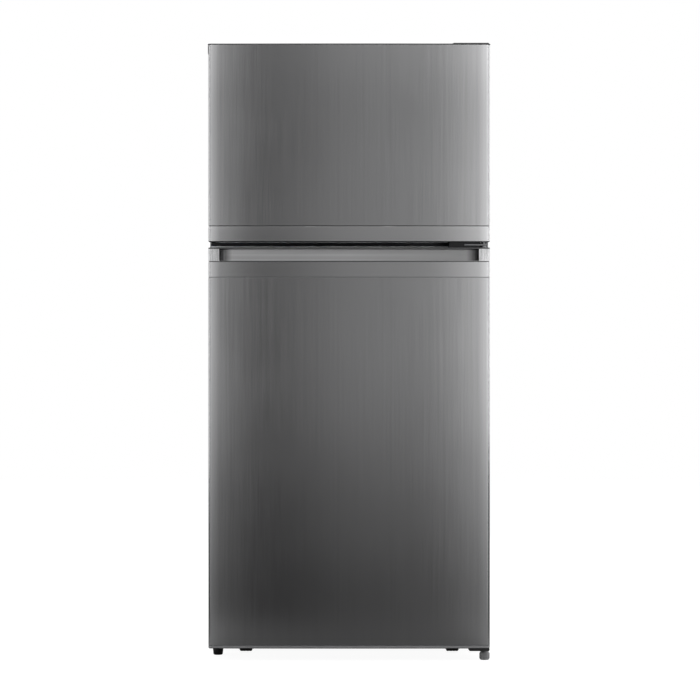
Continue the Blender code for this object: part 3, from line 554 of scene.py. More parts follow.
def framed(low, high, axis, profile, radius, ends="capped", steps=6, made=None):
    """Skins rounded rectangles across an axis. The profile is (inset, offset) points from low and high."""
    rings = []
    for inset, offset in profile:
        first = (low[0] + inset, low[1] + inset)
        last = (high[0] - inset, high[1] - inset)
        ring = rounded_rectangle(first, last, max(radius - inset, 0.0006), steps)
        rings.append(in_space(ring, axis, offset))
    return loft(made or bmesh.new(), rings, ends)


def container(low, high, wall, radius, fillet=0.006, draft=0.002, rim=0.0008):
    """A moulded box, open at the top, with rounded corners, a fillet at the floor and a slight draft."""
    low, high = Vector(low), Vector(high)
    outer = [(draft + fillet - across, low.z + fillet - drop) for across,
             drop in arc((0, 0), fillet, 90, 0, 4)]
    inner = [(wall + inset, height + wall) for inset, height in outer]
    outer += [(0.0, high.z - 3 * rim), (0.0, high.z - rim), (rim, high.z), (wall - rim / 2, high.z)]
    profile = outer + [(wall, high.z - rim)] + inner[::-1]
    return framed(low.xy, high.xy, "Z", profile, radius)


def hex_screw(made, place, axis, size=0.0045):
    """A flanged hexagon head screw, its seat at the place and its head along the axis."""
    turned([(0, 0), (size * 1.35, 0), (size * 1.35, 0.0007), (size * 1.05, 0.0013), (0, 0.0013)], place,
           axis, 20,
           made=made)
    top = Vector(place) + Vector(axis).normalized() * 0.0009
    turned([(0, 0), (size, 0), (size, 0.0026), (size * 0.88, 0.0031), (0, 0.0031)], top, axis, 6, made=made)


def panel_screws(name, places, axis, slot="zinc_steel", size=0.0036):
    """Low round heads, each with a round drive recess."""
    crown = [(size * math.cos(angle), 0.0005 + 0.0014 * math.sin(angle)) for angle in (0.4, 0.8, 1.2)]
    dome = [(0, 0), (size, 0), (size, 0.0005), *crown, (0.0009, 0.0018), (0.0007, 0.0009), (0, 0.0009)]
    made = bmesh.new()
    for place in places:
        turned(dome, place, axis, 16, made=made)
    piece(name, made, slot)


def flowing(points, steps=6):
    """A smooth line through the points."""
    spots = [Vector(point) for point in points]
    spots = [2 * spots[0] - spots[1], *spots, 2 * spots[-1] - spots[-2]]
    line = []
    for first, second, third, fourth in zip(spots, spots[1:], spots[2:], spots[3:]):
        for step in range(steps):
            share = step / steps
            bend = (2 * first - 5 * second + 4 * third - fourth) * share ** 2
            twist = (3 * second - first - 3 * third + fourth) * share ** 3
            line.append((2 * second + (third - first) * share + bend + twist) / 2)
    line.append(spots[-2])
    return line


# Camera, floor and light


def make_camera():
    data = bpy.data.cameras.new("camera")
    data.lens = CAMERA_LENS
    data.sensor_width = 36.0
    camera = to_object("camera", data)
    camera.location = CAMERA_PLACE
    camera.rotation_euler = (math.radians(90), 0, 0)
    bpy.context.scene.camera = camera


def make_world():
    """White for the camera and a dim grey room for everything else."""
    world = bpy.data.worlds.new("studio")
    bpy.context.scene.world = world
    world.use_nodes = True
    nodes = Nodes(world.node_tree)
    room = nodes.tree.nodes["Background"]
    nodes.put(room.inputs["Color"], (0.3, 0.305, 0.31))
    seen = nodes.add("Background", {"Color": (1.0, 1.0, 1.0)})
    rays = nodes.add("LightPath", {}, "Is Camera Ray")
    mixed = nodes.add("MixShader", {0: rays, 1: room.outputs["Background"], 2: seen})
    nodes.put(nodes.tree.nodes["World Output"].inputs["Surface"], mixed)


def stage_material(name, shader):
    """A material for the stage, from a function that makes its shader."""
    material = bpy.data.materials.new(name)
    material.use_nodes = True
    nodes = Nodes(material.node_tree)
    nodes.tree.nodes.clear()
    output = nodes.tree.nodes.new("ShaderNodeOutputMaterial")
    nodes.put(output.inputs["Surface"], shader(nodes))
    return material


def floor_shader(nodes):
    """Pale diffuse paint that the camera sees almost evenly white and that shiny pieces see dim."""
    paint = nodes.add("BsdfDiffuse", {"Color": (0.85, 0.85, 0.85)})
    paint = nodes.seen_by("Is Camera Ray", 0.75, paint, nodes.add("Emission", {"Strength": 1.25}))
    glow = nodes.add("Emission", {"Strength": nodes.graded("X", FLOOR_ACROSS)})
    return nodes.seen_by("Is Glossy Ray", 1.0, paint, glow)


def panel_shader(nodes):
    strength = nodes.times(nodes.graded("X", PANEL_ACROSS), nodes.graded("Z", PANEL_UP))
    return nodes.add("Emission", {"Strength": strength})


def make_floor():
    made = bmesh.new()
    made.faces.new([made.verts.new((x, y, 0)) for x,
                    y in ((-6, FLOOR_FRONT), (6, FLOOR_FRONT), (6, 8), (-6, 8))])
    floor = solid("floor", made)
    floor.data.materials.append(stage_material("pale_floor", floor_shader))


def make_front_panel():
    """A wide graded softbox between the camera and the doors, which only they see."""
    mesh = bpy.data.meshes.new("front_panel")
    corners = [(x, PANEL_Y, z) for x, z in ((-1.3, -0.6), (-1.3, 2.6), (1.3, 2.6), (1.3, -0.6))]
    mesh.from_pydata(corners, [], [range(4)])
    mesh.materials.append(stage_material("graded_light", panel_shader))
    panel = to_object("front_panel", mesh)
    panel.visible_camera = False
    panel.visible_shadow = False


def softbox(name, place, target, width, height, power):
    data = bpy.data.lights.new(name, "AREA")
    data.shape = "RECTANGLE"
    data.size = width
    data.size_y = height
    data.energy = power
    light = to_object(name, data)
    light.location = place
    light.rotation_euler = (Vector(target) - Vector(place)).to_track_quat("-Z", "Y").to_euler()
    light.visible_camera = False


# CAD nodes that keep their own shape


def dress_cad_nodes():
    """Welds and rounds each CAD solid that stays, and gives it its finish."""
    widths = {"black_plastic": 0.0008, "grey_plastic": 0.0008, "white_plastic": 0.0006}
    for name, node in frame["nodes"].items():
        slot = SLOTS[name]
        node.data.materials.clear()
        node.data.materials.append(HINGE_STEEL if name == "middle_hinge" else FINISHES[slot])
        if node.hide_render:
            continue
        custom = node.data.attributes.get("custom_normal")
        if custom:
            node.data.attributes.remove(custom)
        weld = node.modifiers.new("Weld", "WELD")
        weld.merge_threshold = 0.00001
        round_edges(node, widths.get(slot, 0.0003))
        node.data.shade_smooth()


# Doors


def door_edge(inset, back=PLATE_FRONT, half=DOOR_HALF):
    """The plan line of a door from its back left corner round the crowned front to its back right corner."""
    corner_steps, crown_steps = 10, 32
    side = half - inset
    front = DOOR_FRONT + inset
    radius = CORNER_RADIUS - inset
    flat = side - radius
    shoulder = front + CROWN + radius
    line = [(-side, back)] + arc((-flat, shoulder), radius, 180, 270, corner_steps)
    for step in range(1, crown_steps):
        across = flat * (2 * step / crown_steps - 1)
        line.append((across, front + CROWN * (across / flat) ** 2))
    return line + arc((flat, shoulder), radius, 270, 360, corner_steps) + [(side, back)]


def door_block(low, high, inset=0.0, half=DOOR_HALF, back=PLATE_FRONT, crest=0.0):
    """A block of the door's plan, its top edge rounded over by the crest's width."""
    rings = [(low, inset)]
    if crest:
        rings += [(high - crest * (1 - math.sin(angle)), inset + crest * (1 - math.cos(angle)))
                  for angle in QUARTER[:3]]
    rings.append((high, inset + crest))
    rings = [in_space(door_edge(gap, back, half), "Z", level) for level, gap in rings]
    return solid("tool", loft(bmesh.new(), rings), 20)


def door_band(outer, inner, low, high, back=PLATE_FRONT):
    """A band round a door's front and sides, between two insets and two heights."""
    return extruded(door_edge(outer, back) + door_edge(inner, back)[::-1], "Z", low, high)


def seam_tool(low, high, depth):
    """A groove round a door's front and sides."""
    return solid("tool", door_band(-0.001, depth, low, high, PLATE_FRONT - 0.002), 20)


def paint_faces(shape, finish, chosen):
    """Gives a second finish to the faces whose centres are chosen."""
    shape.data.materials.append(finish)
    number = len(shape.data.materials) - 1
    for face in shape.data.polygons:
        if chosen(face.center, face.normal):
            face.material_index = number


def door_skin(body):
    """The pressed outer skin, a thin band round the door's front and sides with rounded edges."""
    name = body + "_skin"
    low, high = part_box(name)
    top = high.z - (SEAM if body == "fridge_door" else 0)
    skin = piece(name + "_pressing", door_band(0.0, DOOR_SKIN, low.z + SEAM, top), "skin_steel", body, name,
                 20)
    round_edges(skin, 0.0004)


def seam_strip(body, level):
    """A dark strip that backs the seam between a skin and its trim."""
    piece(body + "_seam_strip", door_band(0.0012, 0.0021, level - 0.0035, level + 0.0035), "black_plastic",
          body,
          angle=20)


def grip_trim():
    """The freezer door's lower trim, with the finger grip in its underside, which is painted black as shadow.
    """
    name = "freezer_door_grip_trim"
    low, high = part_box(name)
    trim = door_block(low.z, high.z, crest=0.0016)
    cut(trim, door_block(1.1515, high.z + 0.02, SKIN_INSET, back=PLATE_FRONT + 0.02))
    grip = [(-0.374, low.z - 0.02), (-0.374, 1.1385)] + arc((-0.366, 1.1385), 0.008, 180, 90, 6)
    grip += [(-0.35, 1.1465), (-0.35, low.z - 0.02)]
    cut(trim, solid("tool", extruded(grip, "X", -0.3, 0.3)), pin_bore(1.134, 0.028))
    dressed(round_edges(smoothed(trim, 20), 0.0005), "trim_steel", "freezer_door", name)
    inner, side = DOOR_FRONT + 0.012, DOOR_HALF - 0.001
    # Painted shadow: the underside and the grip's inner faces take the shadow black.
    paint_faces(trim, SHADOW_BLACK, lambda spot, normal: normal.z < -0.7 or
                (spot.y > inner and abs(spot.x) < side and spot.z < 1.15))


def pocket_section(depth):
    """The side outline of the finger pocket, which also runs down behind the front lip. Its depth is a
    share.
    """
    lip_back = DOOR_FRONT + 0.01
    back = lip_back + 0.018 * depth
    radius = (back - lip_back) / 2
    rise = min(0.0035, radius)
    outline = [(DOOR_FRONT - 0.02, LIP_TOP), (lip_back, LIP_TOP)]
    outline += arc((lip_back + radius, LIP_TOP - 0.0003 - radius), radius, 180, 360, 12)
    outline += arc((back - rise, POCKET_TOP - rise), rise, 0, 90, 8)
    return outline + [(DOOR_FRONT - 0.02, POCKET_TOP)]


def pocket_tool():
    """The pocket's space, its back wall swept forward in a quarter round at each end."""
    stations = []
    for angle in spaced(0, math.pi / 2, 9):
        stations.append((POCKET_HALF - POCKET_SWEEP * (1 - math.cos(angle)), max(math.sin(angle), 0.05)))
    row = [(-across, depth) for across, depth in stations] + stations[::-1]
    return solid("tool", loft(bmesh.new(),
                              [in_space(pocket_section(depth), "X", across) for across, depth in row]), 20)


def handle_trim():
    """The fridge door's upper trim, with its full width finger pocket and end blocks. Its top edge is painted
    dark as shade and dark reflection, the groove under the lip is painted dark as shade, and the pocket's
    steel carries painted shade towards its right and its ends.
    """
    name = "fridge_door_handle_trim"
    low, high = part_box(name)
    trim = door_block(low.z, high.z)
    side, back = DOOR_HALF - 0.002, PLATE_FRONT + 0.02
    wall, front = DOOR_FRONT + 0.0305, DOOR_FRONT + CROWN + 0.002
    cut(trim, door_block(low.z - 0.02, 1.0555, SKIN_INSET, back=back))
    cut(trim, box_tool((-side, wall, low.z - 0.02), (side, back, high.z - 0.0025)))
    join(trim, box_tool((0.3495, wall - 0.005, 1.085), (side + 0.0005, HINGE.y + 0.0125, high.z - 0.0015)))
    cut(trim, pocket_tool(), seam_tool(LIP_TOP - 0.003, LIP_TOP - 0.0008, 0.001),
        seam_tool(POCKET_TOP - 0.0002, POCKET_TOP + 0.0004, 0.0008), pin_bore(1.111, 0.038))
    dressed(round_edges(smoothed(trim, 20), 0.0004), "trim_steel", "fridge_door", name)
    # Painted shade: the pocket's steel darkens to its right and ends, the top edge is painted dark as shade
    # and dark reflection, and the lip groove as shade.
    for finish, chosen in (
        (POCKET_STEEL_PAINTED_SHADE, lambda spot, _: front < spot.y < wall and LIP_TOP - 0.02 < spot.z < POCKET_TOP
         and abs(spot.x) < POCKET_HALF),
        (SPECKLED, lambda spot, _: abs(spot.x) > POCKET_HALF and LIP_TOP - 0.001 < spot.z < POCKET_TOP),
        (DARK_PLASTIC_AND_PAINTED_SHADE, lambda spot, _: spot.z > POCKET_TOP),
        (DARK_PLASTIC_AND_PAINTED_SHADE, lambda spot, _: LIP_TOP - 0.0031 < spot.z < LIP_TOP - 0.0007),
    ):
        paint_faces(trim, finish, chosen)


def door_caps():
    """The freezer door's thin top lid with its side flange, and the fridge door's bottom cap."""
    name = "freezer_door_top_cap"
    low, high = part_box(name)
    lid = door_block(high.z - 0.0025, high.z, half=-low.x)
    join(lid, door_block(low.z + 0.013, high.z - 0.002, FOAM_INSET),
         box_tool((low.x, -0.372, low.z), (-DOOR_HALF - SEAL_GAP, -0.34, high.z - 0.001)))
    cut(lid, pin_bore(high.z - 0.01, 0.04))
    dressed(round_edges(smoothed(lid, 20), 0.0005), "black_plastic", "freezer_door", name)
    name = "fridge_door_bottom_cap"
    low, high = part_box(name)
    foot = door_block(low.z, 0.042)
    join(foot, door_block(0.041, 0.05, FOAM_INSET))
    cut(foot, pin_bore(low.z + 0.008, 0.03), seam_tool(0.0392, 0.0398, 0.0008),
        seam_tool(low.z - 0.001, low.z + 0.002, 0.0009))
    dressed(round_edges(smoothed(foot, 20), 0.0004), "grey_plastic", "fridge_door", name, CAP_GREY)
    # Painted shadow: the cap's lowest strip, in the step at its foot, is painted dark.
    paint_faces(foot, DARK_PLASTIC_AND_PAINTED_SHADE, lambda spot, _: spot.z < low.z + 0.0019)


def door_liner(body):
    """The door's inner face: a plate with a raised ring for the bins, drawn from one sheet."""
    name = body + "_liner"
    low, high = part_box(name)
    seal_low, seal_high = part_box(body + "_gasket")
    plate, ridge = low.y + 0.002, high.y
    edge = rounded_rectangle((low.x, low.z), (high.x, high.z), 0.006)
    seat = rounded_rectangle((seal_low.x - 0.004, seal_low.z - 0.002),
                             (seal_high.x + 0.004, min(seal_high.z + 0.004, high.z - 0.001)), 0.006)
    foot, brow, width = 0.004, 0.005, 0.0195
    profile = [(-foot * math.sin(angle), plate + foot * (1 - math.cos(angle))) for angle in QUARTER[::-1]]
    profile += [(brow * (1 - math.cos(angle)), ridge - brow * (1 - math.sin(angle))) for angle in QUARTER]
    profile += [(width - inset, offset) for inset, offset in profile[::-1]]
    rings = [in_space(edge, "Y", plate), in_space(seat, "Y", plate)]
    bottom, top = DIKES[body]
    for inset, offset in profile:
        corners = (inset - DIKE_HALF, bottom + inset), (DIKE_HALF - inset, top - inset)
        rings.append(in_space(rounded_rectangle(*corners, 0.024 - inset), "Y", offset))
    made = loft(bmesh.new(), rings, "open")
    made.faces.new(list(made.verts)[-len(edge):])
    thickened(piece(name + "_forming", made, "white_plastic", body, name, 40), 0.0015)


def door_foam(body):
    """Rigid foam behind the skin, and in the raised ring of the liner."""
    name = body + "_insulation"
    low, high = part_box(name)
    top = min(high.z, 1.055) if body == "fridge_door" else high.z
    made = extruded(door_edge(FOAM_INSET), "Z", low.z, top)
    if body == "fridge_door":
        block(made, (-0.376, DOOR_FRONT + 0.031, top + 0.0005), (0.3485, PLATE_FRONT, high.z), 0.001)
    bottom, top = DIKES[body]
    front, face = PLATE_FRONT + 0.001, high.y - 0.0002
    profile = [(0.003, front), (0.003, high.y - 0.002), (0.005, face), (0.0145, face),
               (0.0165, high.y - 0.002),
               (0.0165, front)]
    framed((-DIKE_HALF, bottom), (DIKE_HALF, top), "Y", profile, 0.024, "looped", made=made)
    piece(name + "_filling", made, "foam", body, name)


def door_gasket(body):
    """The magnetic gasket: a soft bellows between a foot in the door and the flat magnet strip."""
    name = body + "_gasket"
    low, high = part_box(name)
    side = [(0.0, 0.0), (0.0, 0.22), (0.0035, 0.27), (0.0012, 0.5), (0.0035, 0.72), (0.0006, 0.85),
            (0.0006, 1.0)]
    profile = [(inset, low.y + share * (high.y - low.y)) for inset, share in side]
    profile += [(0.016 - inset, offset) for inset, offset in profile[::-1]]
    made = framed((low.x, low.z), (high.x, high.z), "Y", profile, 0.005, "looped", 3)
    piece(name + "_bellows", made, "gasket_rubber", body, name, 50)


def door_bin(name, body):
    """A clear moulded bin with a thick front rail and two raised lines."""
    low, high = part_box(name)
    made = container(low, high, 0.0022, 0.012)
    for share in (0.3, 0.42):
        level = low.z + (high.z - low.z) * share
        block(made, (low.x + 0.03, high.y - 0.0006, level), (high.x - 0.03, high.y + 0.0008, level + 0.003),
              0.0006)
    piece(name + "_moulding", made, "clear_plastic", body, name)
    rail = ((low.x + 0.006, high.y + 0.0002, high.z - 0.018),
            (high.x - 0.006, high.y + 0.0028, high.z - 0.002),
            0.0012, 3)
    piece(name + "_rail", blocks(rail), "grey_plastic", body)


# Cabinet


def cabinet_wrapper():
    """The one piece steel wrapper, rounded along its top edges, with its front flange."""
    low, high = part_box("cabinet_shell")
    sheet, radius = 0.0012, 0.006
    top = high.z - radius

    def hoop(inset):
        half, bend = high.x - inset, radius - inset
        line = [(half, low.z)] + arc((high.x - radius, top), bend, 0, 90, 6)
        return line + arc((radius - high.x, top), bend, 90, 180, 6) + [(-half, low.z)]

    made = extruded(hoop(0.0) + hoop(sheet)[::-1], "Y", low.y + sheet, high.y)
    opening = [(-0.332, low.z), (-0.332, 1.606), (0.332, 1.606), (0.332, low.z)]
    extruded(hoop(0.0) + opening, "Y", low.y, low.y + sheet, made)
    round_edges(piece("cabinet_wrapper", made, "grey_paint", node="cabinet_shell", angle=30), 0.0004)


def vacuum_formed(node, made):
    """A liner from a closed space: its front is opened, its corners are rounded and its rim is turned out."""
    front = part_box(node)[0].y
    lid = [face for face in made.faces if all(abs(corner.co.y - front) < 0.0001 for corner in face.verts)]
    bmesh.ops.delete(made, geom=lid, context="FACES_ONLY")
    edges = [edge for edge in made.edges if len(edge.link_faces) == 2]
    bmesh.ops.bevel(made, geom=edges, offset=LINER_RADIUS, segments=5, profile=0.5, affect="EDGES")
    rim = [edge for edge in made.edges if edge.is_boundary]
    turned_out = bmesh.ops.extrude_edge_only(made, edges=rim)["geom"]
    corners = [corner for corner in turned_out if isinstance(corner, bmesh.types.BMVert)]
    for axis in (0, 2):
        low, high = (pick(corner.co[axis] for corner in corners) for pick in (min, max))
        middle, half = (low + high) / 2, (high - low) / 2
        for corner in corners:
            corner.co[axis] = middle + (corner.co[axis] - middle) * (half + LINER_FLANGE) / half
    liner = solid(node + "_forming", made, 40)
    round_edges(liner, 0.0025, 3, 60)
    dressed(thickened(liner, 0.0012), "white_plastic", node=node)


def liners():
    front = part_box("freezer_liner")[0].y
    vacuum_formed("freezer_liner", blocks(((-LINER_HALF, front, 1.15), (LINER_HALF, 0.3, 1.6), 0)))
    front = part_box("fridge_liner")[0].y
    space = [(front, 0.1), (0.11, 0.1), (0.155, 0.345), (0.31, 0.345), (0.31, 1.092), (front, 1.092)]
    vacuum_formed("fridge_liner", extruded(space, "X", -LINER_HALF, LINER_HALF))


def shelf_rails(name, tops):
    """Moulded ledges along both walls, under each shelf, as (top, back)."""
    made = bmesh.new()
    for top, back in tops:
        for side in SIDES:
            near, far = sorted((side * 0.3165, side * 0.3228))
            block(made, (near, -0.19, top - 0.008), (far, back, top), 0.0018, 3)
    piece(name, made, "white_plastic")


def mullion_strip():
    """Painted shade on the rail between the doors: a dark plastic strip over its upper part, which lies in
    shade, and a grey bead under it.
    """
    low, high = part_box("mullion_rail")
    first, last, back = -0.374, 0.285, low.y - 0.0001
    strip = ((first, low.y - 0.0009, 1.119), (last, back, high.z - 0.0004), 0.0003)
    piece("mullion_strip", blocks(strip), "black_plastic")
    bead = ((first, low.y - 0.0016, 1.1148), (last, back, 1.1188), 0.0012, 3)
    piece("mullion_bead", blocks(bead), "white_plastic")


# Storage


def shelf_frame(name):
    """A moulded shelf trim with a soft front edge and a rebate for its glass."""
    low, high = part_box(name)
    under = [(0.002, 0), (0.0004, 0.0008), (0, 0.0025)]
    over = [(0, 0.0035), (0.0005, 0.0015), (0.0018, 0.0003), (0.003, 0), (0.0054, 0), (0.006, 0.0006),
            (0.006, 0.0045), (0.015, 0.0045), (0.016, 0.0055)]
    profile = [(inset, low.z + rise) for inset, rise in under] + [(inset, high.z - drop) for inset,
                                                                  drop in over]
    profile += [(0.016, low.z + 0.001), (0.015, low.z)]
    made = framed(low.xy, high.xy, "Z", profile, 0.008, "looped", 5)
    piece(name + "_moulding", made, "grey_plastic", node=name, angle=40)


def freezer_shelf():
    """A shelf of welded, coated wire: a heavy frame, bars from front to back and two cross wires under
    them.
    """
    low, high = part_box("freezer_shelf")
    heavy, light = 0.0029, 0.0013
    inset = Vector((heavy, heavy))
    rim = [(*point, low.z + heavy) for point in rounded_rectangle(low.xy + inset, high.xy - inset, 0.012)]
    tubes("freezer_shelf_rim", [rim], heavy, "white_plastic", "freezer_shelf", loop=True)
    bars = [[(across, along, low.z + 0.0046) for along in (low.y + 0.002, high.y - 0.002)]
            for across in spaced(-0.3, 0.3, 31)]
    bars += [[(across, along, low.z + 0.0018) for across in (low.x + 0.002, high.x - 0.002)]
             for along in (-0.075, 0.085)]
    tubes("freezer_shelf_bars", bars, light, "white_plastic")


def crisper(name):
    """A clear drawer: a drafted tub, a flat front with a grip cut in its top edge, and a rolled grip lip."""
    low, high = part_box(name)
    made = container((low.x + 0.002, low.y + 0.006, low.z), (high.x - 0.002, high.y, high.z - 0.001), 0.0025,
                     0.016,
                     0.01, 0.004)
    middle = (low.x + high.x) / 2
    notch, drop = 0.07, 0.024
    bend, brow = notch - 0.018, high.z - 0.008
    outline = []
    for across, level, radius, start, end, steps in (
        (low.x + 0.006, low.z + 0.006, 0.006, 180, 270, 4),
        (high.x - 0.006, low.z + 0.006, 0.006, 270, 360, 4),
        (high.x - 0.004, high.z - 0.004, 0.004, 0, 90, 3),
        (middle + notch, brow, 0.008, 90, 180, 4),
        (middle + bend, high.z - drop + 0.01, 0.01, 0, -90, 4),
        (middle - bend, high.z - drop + 0.01, 0.01, 270, 180, 4),
        (middle - notch, brow, 0.008, 0, 90, 4),
        (low.x + 0.004, high.z - 0.004, 0.004, 90, 180, 3),
    ):
        outline += arc((across, level), radius, start, end, steps)
    extruded(outline, "Y", low.y, low.y + 0.0035, made)
    round_edges(piece(name + "_moulding", made, "clear_plastic", name, name), 0.0005)
    half = notch - 0.022
    lip = ((middle - half, low.y + 0.0002, high.z - drop - 0.01),
           (middle + half, low.y + 0.0065, high.z - drop - 0.0005), 0.0015, 3)
    piece(name + "_grip", blocks(lip), "grey_plastic", name)


# Machine compartment and rear


def compressor():
    """A welded shell on a foot plate and rubber grommets, with its terminal cover."""
    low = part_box("compressor")[0]
    shell = [(0, 0.0625), (0.03, 0.0632), (0.055, 0.067), (0.067, 0.075), (0.0725, 0.088), (0.073, 0.119),
             (0.0735, 0.1202), (0.0762, 0.1208), (0.0762, 0.1262), (0.0735, 0.1268), (0.073, 0.128),
             (0.0726, 0.165), (0.07, 0.183), (0.063, 0.1965), (0.052, 0.206), (0.035, 0.2118),
             (0.016, 0.2137),
             (0, 0.214)]
    made = turned(shell, (0.17, 0.285, 0.0), UP, 48)
    block(made, (0.088, 0.232, 0.0585), (0.252, 0.338, 0.0625), 0.0015, 3)
    block(made, (0.098, 0.256, 0.096), (0.108, 0.304, 0.15), 0.004, 4)
    piece("compressor_shell", made, "black_paint", node="compressor")
    grommet = [(0, low.z), (0.009, low.z), (0.0095, 0.047), (0.007, 0.0495), (0.0068, 0.0535),
               (0.0095, 0.0555),
               (0.0095, 0.058), (0, 0.058)]
    nut = [(0, 0), (0.0055, 0), (0.0055, 0.002), (0.003, 0.004), (0, 0.004)]
    soles = bmesh.new()
    for across in (0.1, 0.24):
        for along in (0.244, 0.326):
            turned(grommet, (across, along, 0.0), UP, 20, made=soles)
            turned(nut, (across, along, 0.0627), UP, 16, made=soles)
    piece("compressor_grommets", soles, "gasket_rubber")


def refrigerant_tubes():
    """Suction, discharge and process tubes of the compressor, with the filter drier and the capillary
    coil.
    """
    suction = [(0.122, 0.236, 0.15), (0.104, 0.242, 0.155), (0.088, 0.262, 0.175), (0.076, 0.3, 0.205),
               (0.068, 0.335, 0.238), (0.064, 0.342, 0.272), (0.064, 0.342, 0.3003)]
    discharge = [(0.232, 0.315, 0.11), (0.254, 0.329, 0.112), (0.276, 0.34, 0.122), (0.29, 0.344, 0.16),
                 (0.29, 0.344, 0.205), (0.284, 0.344, 0.245), (0.28, 0.344, 0.275), (0.28, 0.344, 0.3003)]
    process = [(0.228, 0.249, 0.13), (0.248, 0.238, 0.132), (0.266, 0.236, 0.15), (0.268, 0.236, 0.185)]
    paths = [flowing(path) for path in (suction, discharge, process)]
    tubes("refrigerant_tubes", paths, 0.0032, "black_paint", sides=4)
    coil = [(0.325 + 0.017 * math.cos(angle), 0.3 + 0.017 * math.sin(angle), 0.15 + 0.0016 * angle)
            for angle in [math.pi * step / 8 for step in range(16 * 4)]]
    tubes("capillary_coil", [coil], 0.0011, "aluminium", sides=2)
    drier = [(0, 0), (0.004, 0.001), (0.009, 0.01), (0.009, 0.08), (0.004, 0.09), (0, 0.091)]
    piece("filter_drier", turned(drier, (0.322, 0.342, 0.12), (0, 0.05, 1), 24), "aluminium")


def drain_pan():
    low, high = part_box("drain_pan")
    made = container(low, high, 0.002, 0.012, 0.008, 0.003)
    piece("drain_pan_moulding", made, "black_plastic", node="drain_pan")


def rear_details():
    """Swaged beads that stiffen the rear panel, and the screws of the panel and the machine cover."""
    face = 0.3757
    beads = [((across - 0.007, face, 0.37), (across + 0.007, face + 0.0026, 1.56), 0.0024, 4)
             for across in (-0.13, 0.13)]
    beads += [((-0.3, face, height - 0.006), (0.3, face + 0.0024, height + 0.006), 0.0022, 4)
              for height in (0.345, 1.6)]
    piece("rear_panel_beads", blocks(*beads), "zinc_steel")
    places = []
    for side in SIDES:
        places += [(side * 0.362, REAR_FACE, height) for height in (0.33, 0.64, 0.96, 1.28, 1.625)]
        places += [(side * 0.345, COVER_FACE, height) for height in (0.076, 0.29)]
    for across in (-0.18, 0.0, 0.18):
        places += [(across, REAR_FACE, 1.64), (across, COVER_FACE, 0.284)]
    panel_screws("rear_screws", places, BACK)


# Cooling


def evaporator():
    """A tube that runs to and fro through thin fins, with a plate at each end."""
    low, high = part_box("evaporator")
    fins = spaced(low.x + 0.016, high.x - 0.016, 56)
    boxes = []
    for across in fins:
        thick = 0.0011 if across in (fins[0], fins[-1]) else 0.00025
        boxes.append(((across - thick, low.y + 0.001, low.z + 0.002),
                      (across + thick, high.y - 0.001, high.z - 0.002), 0))
    piece("evaporator_fins", blocks(*boxes), "aluminium", node="evaporator")
    reach, bend = high.x - 0.018, 0.015
    heights = spaced(low.z + 0.022, high.z - 0.022, 6)
    rise = (heights[1] - heights[0]) / 2
    path = []
    for number, height in enumerate(heights):
        side = 1 if number % 2 == 0 else -1
        path += [(-side * reach, 0.27, height), (side * reach, 0.27, height)]
        if height != heights[-1]:
            turns = [math.radians(angle) for angle in range(-60, 61, 30)]
            path += [(side * (reach + bend * math.cos(turn)), 0.27, height + rise + rise * math.sin(turn))
                     for turn in turns]
    both = [[(x, y + step, z) for x, y, z in path] for step in (-0.012, 0.012)]
    tubes("evaporator_tubes", both, 0.0038, "aluminium", sides=4)


def evaporator_fan():
    """Five pitched blades on a domed hub."""
    name = "evaporator_fan"
    low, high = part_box(name)
    centre = (low + high) / 2
    hub = [(0, -0.01), (0.0125, -0.01), (0.0135, -0.0092), (0.0138, 0.006), (0.0115, 0.0088), (0.006, 0.01),
           (0, 0.01)]
    blade = ((-1, 0), (-0.4, 0.0007), (0.4, 0.0009), (1, 0), (0.4, -0.0006), (-0.4, -0.0006))
    made = turned(hub, centre, FRONT)
    for number in range(5):
        spin = Matrix.Rotation(2 * math.pi * number / 5, 3, "Y")
        sections = []
        for share in spaced(0, 1, 7):
            radius = 0.0125 + 0.0315 * share
            chord = 0.0085 + 0.006 * math.sin(math.pi * (0.15 + 0.75 * share))
            pitch = math.radians(42 - 20 * share)
            section = []
            for across, thick in blade:
                run = across * chord
                spot = Vector((run * math.cos(pitch), run * math.sin(pitch) + thick,
                               radius + 0.04 * abs(run)))
                section.append(centre + spin @ spot)
            sections.append(section)
        loft(made, sections)
    piece(name + "_moulding", made, "grey_plastic", name, name)


def fan_motor():
    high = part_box("fan_motor")[1]
    profile = [(0, -0.03), (0.0225, -0.03), (0.0245, -0.0285), (0.0262, -0.014), (0.0255, -0.012),
               (0.013, -0.0085), (0.0118, -0.003), (0.0105, -0.002), (0.003, -0.002), (0.003, 0.0077),
               (0, 0.0077)]
    made = turned(profile, (0, 0.2655, FAN_HEIGHT), FRONT)
    seat = high.y - 0.0045
    block(made, (-0.06, seat, FAN_HEIGHT - 0.008), (0.06, high.y, FAN_HEIGHT + 0.008), 0.0015, 3)
    for side in SIDES:
        hex_screw(made, (side * 0.05, seat, FAN_HEIGHT), FRONT, 0.0032)
    piece("fan_motor_case", made, "grey_plastic", node="fan_motor")


def evaporator_cover_details():
    """A raised ring round the fan grille, low ribs and four screw caps on the evaporator cover."""
    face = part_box("evaporator_cover")[0].y
    rim = [(0.0525, -0.0004), (0.0528, 0.0016), (0.0545, 0.0026), (0.0565, 0.0022), (0.058, -0.0004),
           (0.0525, -0.0004)]
    made = turned(rim, (0, face, FAN_HEIGHT), FRONT, 64)
    for across in (-0.24, -0.12, 0.12, 0.24):
        block(made, (across - 0.003, face - 0.0014, 1.2), (across + 0.003, face + 0.0004, 1.33), 0.0013, 3)
    cap = [(0, 0), (0.007, 0), (0.007, 0.0008), (0.0058, 0.002), (0, 0.0024)]
    for side in SIDES:
        for height in (1.19, 1.575):
            turned(cap, (side * 0.296, face, height), FRONT, 24, made=made)
    piece("evaporator_cover_details", made, "white_plastic")


